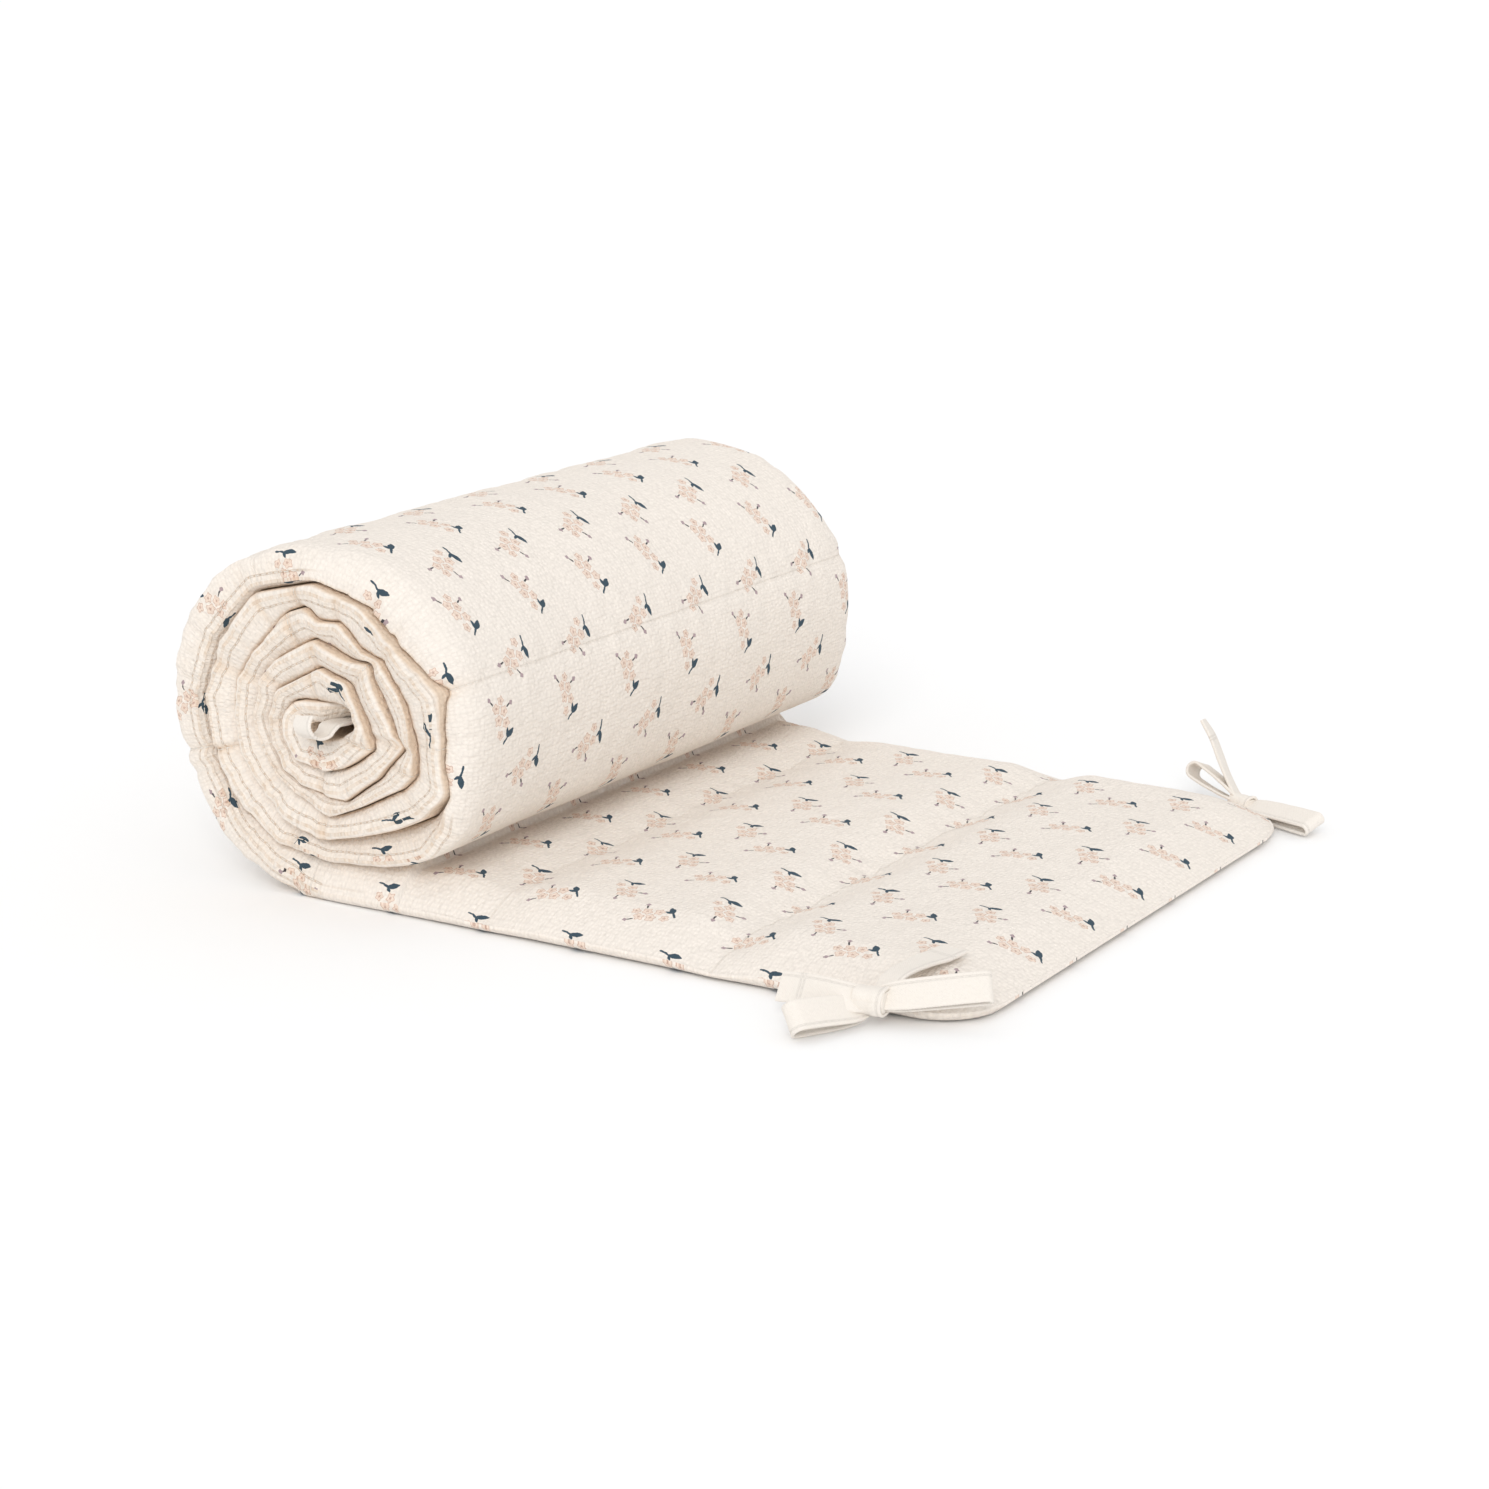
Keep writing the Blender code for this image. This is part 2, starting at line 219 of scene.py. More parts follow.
def valley(distance, spread):
    """1 in a row of quilting, falling to 0 at the channel's crown, steep near the stitches."""
    share = min(abs(distance) / spread, 1)
    return (1 - share) ** 2 * (1 + 1.2 * share)


def tail_top(x):
    """The height of the flat stretch's upper face."""
    height = TAIL_CROWN
    for seam, depth in ((FIRST_SEAM_X, 1.0), (FIRST_SEAM_X - SEAM_PITCH, 0.5)):
        height -= (TAIL_CROWN - SEAM_THICK) * depth * valley(x - seam, SEAM_SPREAD)
    return height - (TAIL_CROWN - END_THICK) * valley(x - TAIL_END_X, 0.045)


# %% All sections in order
OPEN_STEP = 0.0025          # between two sections that show from the front and above
WOUND_STEP = 0.0019         # and in the inner turns, where only the edges show
SPLIT_TURNED = 433.0        # a row of quilting, where the cover is divided into two meshes

ROLL_ROWS = (               # the rows of quilting in the roll, in degrees turned, about 10 cm of cloth apart
    5, 75, 154, 249.5, 340, 433, 530, 630, 735, 881, 1005, 1150, 1301, 1500, 1721, 1925,
)

sections = []               # rows of (outer point, inner point, degrees turned)
for x in np.arange(TAIL_END_X, TAIL_TOUCH_X, -OPEN_STEP):
    sections.append((Vector((x, 0)), Vector((x, tail_top(x))), 0.0))
for turned in np.arange(324, 360, 2.0):
    inner = around_core(turned, gap_radius(turned) + LAYER_GAP / 2)
    sections.append((Vector((inner.x, 0)), inner, 0.0))
turned = 0.0
while turned <= LAST_TURNED:
    touching = LAYER_GAP / 2 if turned >= 324 else 0
    radius = gap_radius(turned) - touching
    inner = around_core(turned, gap_radius(turned + TURN) + LAYER_GAP / 2)
    sections.append((around_core(turned, radius), inner, turned))
    turned += math.degrees((OPEN_STEP if turned < SPLIT_TURNED else WOUND_STEP) / radius)

outer = np.array([tuple(section[0]) for section in sections])
inner = np.array([tuple(section[1]) for section in sections])
turned = np.array([section[2] for section in sections])
middle = (outer + inner) / 2
length = np.concatenate([[0], np.cumsum(np.linalg.norm(np.diff(middle, axis=0), axis=1))])
BAND_LENGTH = length[-1]
tail_rows = [TAIL_END_X - x for x in (FIRST_SEAM_X, FIRST_SEAM_X - SEAM_PITCH)]
wound = turned > 0
roll_rows = np.interp(ROLL_ROWS, turned[wound], length[wound])
seam_lengths = np.concatenate([tail_rows, roll_rows])
split = int(np.searchsorted(turned, SPLIT_TURNED))
print(f"{len(sections)} sections, band {BAND_LENGTH:.3f} m long, {len(seam_lengths)} rows of quilting")

# %% [markdown]
# ## Rows across the band
#
# Across its width the band is plain, except near its two long edges, where the faces curve round to meet
# in a seam. The rows of points are therefore close together near the edges and wider apart between them.
# The cover is made as two meshes that meet in a row of quilting inside the roll. The first one, which shows
# all over, gets many rows. Of the second one only the edges show, so its middle can do with fewer.

# %% Rows from one edge to the other
BAND_WIDTH = 0.300
ROW_GAPS = (0.4, 0.5, 0.7, 0.8, 1.0, 1.2, 1.4, 1.6, 1.8, 2.0, 2.1)  # millimetres, from an edge
EDGE_MARGIN = sum(ROW_GAPS) / 1000


def rows_across(middle_gap):
    """Places from the near edge to the far one, measured from the middle of the band."""
    from_edge = np.concatenate([[0], np.cumsum(ROW_GAPS)])[:-1] / 1000 - BAND_WIDTH / 2
    half = BAND_WIDTH / 2 - EDGE_MARGIN
    between = np.linspace(-half, half, round(2 * half / middle_gap))
    return np.concatenate([from_edge, between, -from_edge[::-1]])


# %% [markdown]
# ## The band's surface
#
# Every point of the band is placed from four things: its section, its row, which face it is on and how far
# it is from the sewn outline. Near the outline the two faces close up to meet in the seam. The seam isn't
# always in the middle of the edge: rolling the band pushes the wadding outwards, so the seam of the outer
# turn is drawn to the inside and that of the inner turns to the outside. The near edges also don't line up
# exactly, since nobody rolls a bumper quite straight.

# %% Tables along the band
NEAR_SETBACK = (            # how far a turn stands back from the roll's near end (mm)
    (0, 0.0), (150, 0.0), (204, 3.5), (286, 3.5), (311, 1.5), (360, 0.5), (600, -1.0), (840, 1.0),
    (1080, -1.0), (1440, 0.5), (1800, -1.0), (2064, 0.5),
)
EDGE_SEAM = (               # where the edge's seam is in the thickness: 0 at the outer face, 1 at the inner
    (0, 0.22), (20, 0.50), (50, 0.76), (120, 0.80), (170, 0.84), (200, 0.90), (285, 0.92), (311, 0.16),
    (345, 0.20), (420, 0.22), (2064, 0.28),
)
OUTER_ROUND = (             # how far the outer face's rounding reaches in from the edge (mm)
    (0, 4.0), (20, 2.4), (120, 2.4), (150, 4.0), (190, 14.0), (287, 14.0), (311, 3.0), (345, 3.0), (400, 1.4),
    (2064, 1.4),
)
INNER_ROUND = (             # and the inner face's
    (0, 8.0), (110, 7.0), (180, 4.0), (287, 4.0), (311, 9.0), (345, 8.0), (400, 4.6), (1600, 4.2),
    (1800, 2.6), (2064, 2.4),
)
OUTER_POWER = 2.0           # 2 is a half circle, and more is fuller
INNER_POWER = 1.25
NEAR_CORNER = 0.026         # radius of the rounded corners on the near side
FAR_CORNER = 0.036          # and on the far side
TAIL_ROUND = {"outer": 8.0, "inner": 28.0}     # the rounding of the flat stretch's foot and top (mm)
TAIL_SEAM = 0.30                                # where its seam is in the thickness
TAIL_ROUND_ENDS = (0.19, 0.28)                  # where along the band it changes to the roll's own
SEAM_WANDER = 0.20          # how far the edge's seam wanders in the thickness of the inner turns
SEAM_HALF = 0.0006          # half of the thickness at the seam itself


def along_table(table, at, unit=1.0):
    """The straight-line reading of a two-column table, for an array of angles."""
    return np.interp(at, [row[0] for row in table], [row[1] * unit for row in table])


def corner_inset(to_end, radius):
    """How far a rounded corner brings one long edge in, for every section."""
    depth = np.clip(radius - to_end, 0, radius)
    return radius - np.sqrt(radius ** 2 - depth ** 2)


def outline_distance(to_end, inset, from_side, radius):
    """How far every point (section, row) is from the rounded outline, on one side of the band."""
    along = radius - to_end[:, None]
    across = radius - (inset[:, None] + from_side[None, :])
    rounded = np.maximum(radius - np.hypot(along, across), 0)
    straight = np.minimum(to_end[:, None], inset[:, None] + from_side[None, :])
    return np.where((along > 0) & (across > 0), rounded, straight)


def fullness(distance, reach, power):
    """A face's share of the full thickness: 0 at the seam, 1 beyond the rounding."""
    return (1 - (1 - np.clip(distance / reach, 0, 1)) ** power) ** (1 / power)


# %% [markdown]
# ## Wrinkles
#
# Cotton over soft wadding is never smooth. Four things shape it here. Each row of quilting pulls the cloth
# down and sends short puckers out to both sides. The edge seam does the same along the outline. The
# wadding itself is a little lumpy. And where the band is bent sharply in the roll, its edge folds in. Each of
# them moves the points by a noise or a fold with its own size and reach. Only faces that touch nothing are
# moved outwards: the outside of the roll, the top of the flat stretch and the edges.

# %% Sizes of the wrinkles
LUMP = 0.0010               # height of the wadding's lumps
CRINKLE = 0.00030           # of the crinkles between them
SEAM_PUCKER = 0.0009        # beside a row of quilting
EDGE_PUCKER = 0.0006        # beside the edge seam
SEAM_DIP = 0.0015           # how far a row of quilting sinks into the roll's outside
EDGE_WRINKLE = 0.0008       # the roll's near and far edges, in and out
EDGE_WAVE = 0.0010          # and their longer waves
CREASE_REACH = 0.006        # how far in from the edge a fold is still seen
EDGE_CREASES = (            # turned (degrees), width (mm), depth (mm)
    (75, 1.6, 1.6), (118, 0.9, 1.4), (146, 2.4, 1.4), (207, 2.0, 1.2), (249.5, 3.5, 4.0), (300, 1.6, 1.2),
    (379, 2.2, 1.2),
    (433, 1.8, 2.4), (472, 2.4, 1.8), (489, 1.0, 0.8), (510, 1.6, 1.6), (530, 2.2, 2.2), (553, 1.8, 1.6),
    (586, 1.6, 1.6), (630, 1.2, 0.8), (657, 1.6, 0.8), (719, 2.2, 2.0), (766, 1.4, 1.0), (835, 1.6, 1.6),
    (881, 2.0, 2.0), (944, 1.8, 1.6), (1005, 1.6, 1.4), (1070, 1.4, 1.2), (1130, 1.4, 1.2),
    (1206, 1.8, 1.8), (1257, 1.8, 2.0), (1301, 1.6, 1.4), (1352, 1.8, 1.6), (1440, 1.6, 1.2),
    (1530, 1.6, 1.4), (1610, 1.8, 1.6), (1721, 1.6, 1.6), (1800, 1.4, 1.0), (1925, 1.4, 1.0),
)


def cloth_noise(s, y, size_s, size_y, seed):
    """Smooth noise of about -1 to 1 over two arrays of lengths, with bumps of the given sizes."""
    values = [noise.noise(Vector((a / size_s, b / size_y, seed))) for a, b in zip(s.ravel(), y.ravel())]
    return np.array(values).reshape(s.shape) * 1.6


def fall_off(distance, spread):
    """1 at a line, falling away to both sides."""
    return np.exp(-np.abs(distance) / spread)


def face_moves(seed, s, y, seam_gap, edge_gap):
    """How far one face is moved by the quilting, the edge seam, the lumps and the crinkles."""
    puckers = cloth_noise(s, y, 0.030, 0.0070, seed) * fall_off(seam_gap, 0.010) * SEAM_PUCKER
    pulls = cloth_noise(s, y, 0.0060, 0.030, seed + 1) * fall_off(edge_gap, 0.009) * EDGE_PUCKER
    lumps = cloth_noise(s, y, 0.060, 0.060, seed + 2) * LUMP
    crinkles = cloth_noise(s, y, 0.009, 0.009, seed + 3) * CRINKLE
    return puckers + pulls + lumps + crinkles


def edge_folds(lengths):
    """How deep the edge is folded in along the band, in metres."""
    folded = np.zeros(len(lengths))
    for at_turn, width, depth in EDGE_CREASES:
        at_length = np.interp(at_turn, turned[turned > 0], length[turned > 0])
        folded += depth / 1000 * np.exp(-((lengths - at_length) / (width / 1000)) ** 2)
    return folded


def edge_moves(s, y, folds, wound, edge_gap):
    """How far the roll's edges are folded and crinkled inwards, along the roll's axis."""
    fine = cloth_noise(s, y, 0.0060, 0.050, 21.0) + 0.7 * cloth_noise(s, y, 0.0028, 0.020, 22.0)
    waves = cloth_noise(s, y, 0.022, 0.100, 23.0)
    return fall_off(edge_gap, CREASE_REACH) * (folds + (EDGE_WRINKLE * fine + EDGE_WAVE * waves) * wound)


# %% [markdown]
# ## The cover as closed meshes
#
# Both faces are grids of the same size, joined round the outline by a narrow strip in which the seam lies.
# Each face gets its own map of the cloth: one direction along the band and the other across it, measured
# over the curved surface in metres. The print and the weave read this map, so they follow the cloth round
# the roll and over its edges, just as they were printed on it before it was sewn.

# %% Points of one part of the cover
OUTER_PRINT_START = (0.0380, 0.0220)    # where the print starts on the outer face
INNER_PRINT_START = (0.0070, 0.0194)    # and on the inner face
DEEP_SHIFT = (              # how far the print lies off along the roll: turned (degrees), shift (mm)
    (0, 0.0), (376, 0.0), (378, 8.5), (520, 10.5), (640, 6.5), (800, 9.5), (960, 11.5), (1110, 6.0),
    (1300, 10.0), (1560, 8.0), (1760, 1.0), (2064, -4.6),
)
PRINT_SLIP = (              # how far it lies off along the band: turned (degrees), slip (mm)
    (0, 0.0), (225, 0.0), (285, 4.6), (345, 4.6), (400, 0.0), (2064, 0.0),
)


def place_faces(part, rows):
    """The points, cloth map and marks of both faces, for stitches, gathers and painted shade: dictionaries of
    arrays by section and row.
    """
    turns, lengths, to_end = turned[part], length[part], np.minimum(length, BAND_LENGTH - length)[part]
    side_points = {"outer": outer[part], "inner": inner[part]}
    s = np.repeat(lengths[:, None], len(rows), axis=1)
    y = np.repeat(rows[None, :], len(lengths), axis=0)

    near_corner, far_corner = corner_inset(to_end, NEAR_CORNER), corner_inset(to_end, FAR_CORNER)
    edge_gap = np.minimum(
        outline_distance(to_end, near_corner, rows + BAND_WIDTH / 2, NEAR_CORNER),
        outline_distance(to_end, far_corner, BAND_WIDTH / 2 - rows, FAR_CORNER))
    near_inset = near_corner + along_table(NEAR_SETBACK, turns, 0.001)
    share = np.clip((rows + BAND_WIDTH / 2 - EDGE_MARGIN) / (BAND_WIDTH - 2 * EDGE_MARGIN), 0, 1)
    place_y = rows + near_inset[:, None] * (1 - share) - far_corner[:, None] * share
    wound = (turns > 0)[:, None]
    folds = edge_folds(lengths)[:, None]
    place_y -= np.sign(y) * edge_moves(s, y, folds, wound, edge_gap)

    nearest = np.argmin(np.abs(lengths[:, None] - seam_lengths), axis=1)
    seam_side = (lengths - seam_lengths[nearest])[:, None]
    seam_gap = np.abs(seam_side)
    row_side = np.clip(seam_side * 1000, -20, 20) + 0 * s
    row_near = (seam_gap < 0.012) + 0 * s
    dip = SEAM_DIP * (0.7 * fall_off(seam_gap, 0.009) + 0.3 * fall_off(seam_gap, 0.0016))
    open_roll = (np.clip((turns - 14) / 20, 0, 1) * np.clip((318 - turns) / 12, 0, 1))[:, None]
    open_tail = np.clip((0.262 - lengths) / 0.03, 0, 1)[:, None]
    outward = side_points["outer"] - side_points["inner"]
    outward /= np.linalg.norm(outward, axis=1, keepdims=True)
    wander = cloth_noise(lengths, lengths * 0, 0.034, 1.0, 31.0) * np.clip((turns - 345) / 60, 0, 1)
    on_tail = np.clip((TAIL_ROUND_ENDS[1] - lengths) / (TAIL_ROUND_ENDS[1] - TAIL_ROUND_ENDS[0]), 0, 1)
    seam_share = np.clip(along_table(EDGE_SEAM, turns) + SEAM_WANDER * wander, 0.08, 0.95)
    seam_share = (seam_share * (1 - on_tail) + TAIL_SEAM * on_tail)[:, None]
    seam_point = (side_points["outer"] * (1 - seam_share) + side_points["inner"] * seam_share)[:, None, :]

    grids, maps, marks = {}, {}, {}
    for face, table, power, way, seed, start in (
            ("outer", OUTER_ROUND, OUTER_POWER, 1, 3.1, OUTER_PRINT_START),
            ("inner", INNER_ROUND, INNER_POWER, -1, 8.7, INNER_PRINT_START)):
        round_reach = along_table(table, turns) * (1 - on_tail) + TAIL_ROUND[face] * on_tail
        round_reach = round_reach[:, None] / 1000
        full = fullness(edge_gap, round_reach, power)
        move = face_moves(seed, s, y, seam_gap, edge_gap) - (dip if face == "outer" else 0)
        is_open = open_roll if face == "outer" else open_tail
        move *= np.sqrt(full) * np.maximum(is_open, 0.5 * wound * (1 - full))
        reach = side_points[face][:, None, :] - seam_point
        size = np.linalg.norm(reach, axis=2, keepdims=True)
        out = np.clip(np.maximum(full[..., None], SEAM_HALF / size), 0, 1)
        flat = seam_point + reach * out + way * outward[:, None, :] * move[..., None]
        grid = np.stack([flat[..., 0], place_y, np.maximum(flat[..., 1], 0)], axis=2)
        step = np.linalg.norm(np.diff(grid, axis=1), axis=2)
        over = np.concatenate([np.zeros((len(grid), 1)), np.cumsum(step, axis=1)], axis=1)
        across_way = over.copy()
        centre = len(rows) // 2
        over += (grid[:, centre, 1] - over[:, centre])[:, None]
        grids[face] = grid
        slip = along_table(PRINT_SLIP, turns, 0.001)[:, None]
        drift = along_table(DEEP_SHIFT, turns, 0.001)[:, None]
        maps[face] = np.stack([s * way + slip, over + drift], axis=2) - start
        # Mark for painted shade: tan in the hidden gaps between turns and in the edge's folds
        in_gap = np.clip((full - 0.84) / 0.16, 0, 1) * (1 - is_open) * wound
        crease_shade_share = np.clip(in_gap + folds / 0.003 * fall_off(edge_gap, CREASE_REACH), 0, 1)
        # The gathered edge: a mark for its relief and stitches, and for a light painted shade
        narrow = np.clip((0.013 - round_reach) / 0.004, 0.2, 1) * (0.35 + 0.65 * wound)
        gathered_and_shaded = np.clip(1.2 - full, 0, 1) * narrow
        marks[face] = {"painted_crease_shade": crease_shade_share * (0.3 + 0.7 * (1 - is_open)), "edge_gather_and_shade": gathered_and_shaded,
                       "row_side": row_side, "row_near": row_near,
                       "edge_way": np.minimum(across_way, across_way[:, -1:] - across_way) * 1000}
    return grids, maps, marks


# %% One mesh from two faces
def make_cover(name, part, rows):
    """Join both faces of a part of the band into one closed cover with a map of the cloth."""
    grids, maps, marks = place_faces(part, rows)
    columns, count = len(rows), len(grids["outer"]) * len(rows)
    index = np.arange(count).reshape(-1, columns)
    quads = np.stack([index[:-1, :-1], index[:-1, 1:], index[1:, 1:], index[1:, :-1]], axis=2).reshape(-1, 4)
    border = np.concatenate([index[:, 0], index[-1, 1:], index[-2::-1, -1], index[0, -2:0:-1]])
    ahead = np.roll(border, -1)
    edge_quads = np.stack([border, border + count, ahead + count, ahead], axis=1)
    quads = np.concatenate([quads, quads[:, ::-1] + count, edge_quads])
    points = np.concatenate([grids["outer"].reshape(-1, 3), grids["inner"].reshape(-1, 3)])
    places = np.concatenate([maps["outer"].reshape(-1, 2), maps["inner"].reshape(-1, 2)])[quads.ravel()]
    places[-edge_quads.size:] = maps["outer"].reshape(-1, 2)[edge_quads.ravel() % count]

    mesh = bpy.data.meshes.new(name)
    mesh.from_pydata(points.tolist(), [], quads.tolist())
    mesh.uv_layers.new(name="cloth").data.foreach_set("uv", places.astype(np.float32).ravel())
    for mark in marks["outer"]:
        values = np.concatenate([marks[face][mark].ravel() for face in ("outer", "inner")])
        mesh.attributes.new(mark, "FLOAT", "POINT").data.foreach_set("value", values.astype(np.float32))
    mesh.shade_smooth()
    mesh.set_sharp_from_angle(angle=math.radians(75))
    mesh.materials.append(cotton_material)
    cover = add_object(name, mesh)
    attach(cover, "root")
    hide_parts("quilted_band")
    print(name, len(points), "points", len(quads) * 2, "triangles")


PLAIN_COTTON = (0.89, 0.825, 0.765)     # the cover's colour in a viewer that doesn't draw its print
cotton_material, cotton, cotton_shader = new_material("printed_cotton", PLAIN_COTTON, 0.92)
make_cover("open_cover", slice(0, split + 1), rows_across(0.0022))
make_cover("wound_cover", slice(split, None), rows_across(0.0045))

# %% [markdown]
# ## Printed cotton
#
# The cloth is cream cotton, printed with one small spray of flowers over and over: a dark blue-green leaf
# sprig, a few pale peach blossoms and some lilac buds. The sprays stand in rows. Those of every second row
# are shifted by half a step, mirrored and turned, so that the cloth looks alike from every side. A shader can
# draw such a print exactly: it finds which spray a point belongs to, goes over to that spray's own
# coordinates in millimetres, and draws every stroke and petal there once.

# %% Shader helpers
tree = cotton               # the node tree that all the helpers work in


def add_node(kind, **settings):
    """Add a node and set its properties."""
    node = tree.nodes.new(kind)
    for name, value in settings.items():
        setattr(node, name, value)
    return node


def feed(socket, value):
    """Connect a socket to another one, or give it a plain value."""
    if isinstance(value, bpy.types.NodeSocket):
        tree.links.new(value, socket)
    elif value is not None:
        socket.default_value = value


def calc(operation, a, b=None, c=None, clamp=False):
    """One step of arithmetic: returns its output."""
    node = add_node("ShaderNodeMath", operation=operation, use_clamp=clamp)
    for socket, value in zip(node.inputs, (a, b, c)):
        feed(socket, value)
    return node.outputs[0]


def times(a, b):
    """The product of two values."""
    return calc("MULTIPLY", a, b)


def times_add(a, b, c, clamp=False):
    """The product of two values, and a third one added."""
    return calc("MULTIPLY_ADD", a, b, c, clamp)


def vector_calc(operation, a, b=None, scale=None, output=0):
    """One step of vector arithmetic."""
    node = add_node("ShaderNodeVectorMath", operation=operation)
    feed(node.inputs[0], a)
    feed(node.inputs[1], b)
    if scale is not None:
        feed(node.inputs["Scale"], scale)
    return node.outputs[output]


def soft_below(value, limit, softness):
    """1 where the value is below the limit, 0 above, with a soft change between."""
    node = add_node("ShaderNodeMapRange", interpolation_type="SMOOTHSTEP")
    feed(node.inputs["Value"], calc("SUBTRACT", value, limit))
    for label, number in (("From Min", -softness), ("From Max", softness), ("To Min", 1), ("To Max", 0)):
        node.inputs[label].default_value = number
    return node.outputs["Result"]


def mix_colour(share, a, b, blend="MIX"):
    """Blend two colours by a share."""
    node = add_node("ShaderNodeMix", data_type="RGBA", blend_type=blend)
    feed(node.inputs[0], share)
    feed(node.inputs[6], a)
    feed(node.inputs[7], b)
    return node.outputs[2]


def split_up(vector):
    """The X, Y and Z of a vector."""
    node = add_node("ShaderNodeSeparateXYZ")
    feed(node.inputs[0], vector)
    return node.outputs


def mark(name):
    """A mark that the mesh carries at every point."""
    return add_node("ShaderNodeAttribute", attribute_name=name).outputs["Fac"]


def texture(kind, vector, **values):
    """A texture over a vector, with its values by name: returns its outputs."""
    node = add_node(kind)
    feed(node.inputs["Vector"], vector)
    for label, value in values.items():
        node.inputs[label].default_value = value
    return node.outputs


def add_bump(shader, strength, distance):
    """Give a shader a relief: returns the socket for its height."""
    node = add_node("ShaderNodeBump")
    node.inputs["Strength"].default_value = strength
    node.inputs["Distance"].default_value = distance
    feed(shader.inputs["Normal"], node.outputs[0])
    return node.inputs["Height"]


def new_group(name, inputs, outputs):
    """A node group with the named sockets: rows of (name, type)."""
    group = bpy.data.node_groups.new(name, "ShaderNodeTree")
    for way, sockets in (("INPUT", inputs), ("OUTPUT", outputs)):
        for label, kind in sockets:
            group.interface.new_socket(label, in_out=way, socket_type="NodeSocket" + kind)
    return group, group.nodes.new("NodeGroupInput").outputs, group.nodes.new("NodeGroupOutput").inputs


def use_group(group, values):
    """Add a group with its values in order: returns its outputs."""
    node = add_node("ShaderNodeGroup", node_tree=group)
    for socket, value in zip(node.inputs, values):
        feed(socket, value)
    return node.outputs


# %% A brush stroke and a blossom
PRINT_SOFTNESS = 0.05       # of the printed edges (mm)

stroke, given, result = new_group(
    "stroke", (("Point", "Vector"), ("Start", "Vector"), ("Way", "Vector"),
               ("Ends", "Float"), ("Belly", "Float")), (("Ink", "Float"),))
tree = stroke
from_start = vector_calc("SUBTRACT", given["Point"], given["Start"])
reach = vector_calc("DOT_PRODUCT", from_start, given["Way"], output=1)
whole = vector_calc("DOT_PRODUCT", given["Way"], given["Way"], output=1)
along = calc("DIVIDE", reach, whole, clamp=True)
foot = vector_calc("SCALE", given["Way"], scale=along)
off = vector_calc("DISTANCE", from_start, foot, output=1)
bulge = times(times(along, calc("SUBTRACT", 1.0, along)), 4.0)
width = times_add(given["Belly"], bulge, given["Ends"])
feed(result["Ink"], soft_below(off, width, PRINT_SOFTNESS))

blossom, given, result = new_group(
    "blossom", (("Point", "Vector"), ("Middle", "Vector"), ("Radius", "Float"),
                ("Turned", "Float")), (("Petals", "Float"), ("Lines", "Float")))
tree = blossom
offset = vector_calc("SUBTRACT", given["Point"], given["Middle"])
parts = split_up(offset)
angle = calc("ARCTAN2", parts["Y"], parts["X"])
lobes = calc("COSINE", times_add(angle, 5.0, given["Turned"]))
off = vector_calc("LENGTH", offset, output=1)
rim = times(given["Radius"], times_add(lobes, 0.13, 0.87))
petals = soft_below(off, rim, 0.14)
rim_gap = calc("ABSOLUTE", calc("SUBTRACT", calc("ADD", off, 0.22), rim))
heart = soft_below(off, times_add(lobes, -0.22, 0.50), 0.32)
lines = calc("MAXIMUM", times(soft_below(rim_gap, 0.14, 0.16), 0.75), heart)
feed(result["Petals"], petals)
feed(result["Lines"], times(lines, petals))
print("groups:", [group.name for group in bpy.data.node_groups])

# %% The spray, in its own millimetres
SPRAY_PITCH = 44.0          # between two sprays of a row, and between two like rows (mm)
ODD_START = (22.0, -16.0)   # where the first spray of the other kind of row is (mm)
ODD_TURN = math.radians(135)
BLOSSOMS = (
    # x, y, radius, turned (radians)
    (-5.0, 3.2, 2.1, 0.4), (0.5, 2.9, 2.3, 1.7), (-1.5, -1.4, 2.4, 2.9), (3.1, -1.3, 2.3, 0.9),
    (1.1, -5.4, 2.3, 4.0), (5.2, -5.2, 2.0, 2.2),
)
STROKES = (
    # start x, y, way x, y, half width at the ends, extra in the middle, ink, kinds of spray
    (-6.8, 8.6, 2.2, -0.3, 0.36, 0.05, "leaf", "even"),
    (-4.7, 8.3, 2.0, -0.8, 0.40, 0.06, "leaf", "even"),
    (-2.8, 7.5, 5.3, 0.8, 0.32, 0.92, "leaf", "even"),
    (-2.5, 7.3, 1.5, -2.0, 0.30, 0.34, "leaf", "even"),
    (-6.3, 7.0, 1.8, 0.1, 0.36, 0.05, "leaf", "odd"),
    (-4.6, 7.2, 1.7, 0.2, 0.40, 0.06, "leaf", "odd"),
    (-2.9, 7.4, 4.2, 0.6, 0.45, 0.85, "leaf", "odd"),
    (-2.8, 7.2, 2.3, -2.2, 0.36, 0.40, "leaf", "odd"),
    (1.0, -8.0, 0.3, -1.9, 0.28, 0.06, "stem", "both"),
    (5.6, -0.8, 1.6, 0.7, 0.30, 0.06, "stem", "both"),
    (1.4, -10.2, 0.2, -1.1, 0.52, 0.50, "bud", "both"),
    (7.6, 0.1, 1.1, 0.4, 0.52, 0.50, "bud", "both"),
)
INKS = {
    # linear colours
    "leaf": (0.014, 0.052, 0.085, 1), "stem": (0.035, 0.032, 0.040, 1), "bud": (0.42, 0.32, 0.34, 1),
}
PETAL_COLOUR = (0.87, 0.71, 0.60, 1)
LINE_COLOUR = (0.44, 0.24, 0.18, 1)
CREAM = (0.90, 0.832, 0.760, 1)

tree = cotton
cloth = add_node("ShaderNodeUVMap", uv_map="cloth").outputs[0]
millimetres = vector_calc("SCALE", cloth, scale=1000.0)
wobble = texture("ShaderNodeTexNoise", millimetres, Scale=0.45, Detail=3)
shift = vector_calc("SUBTRACT", wobble["Color"], (0.5, 0.5, 0.5))
drawn = vector_calc("ADD", millimetres, vector_calc("SCALE", shift, scale=1.1))


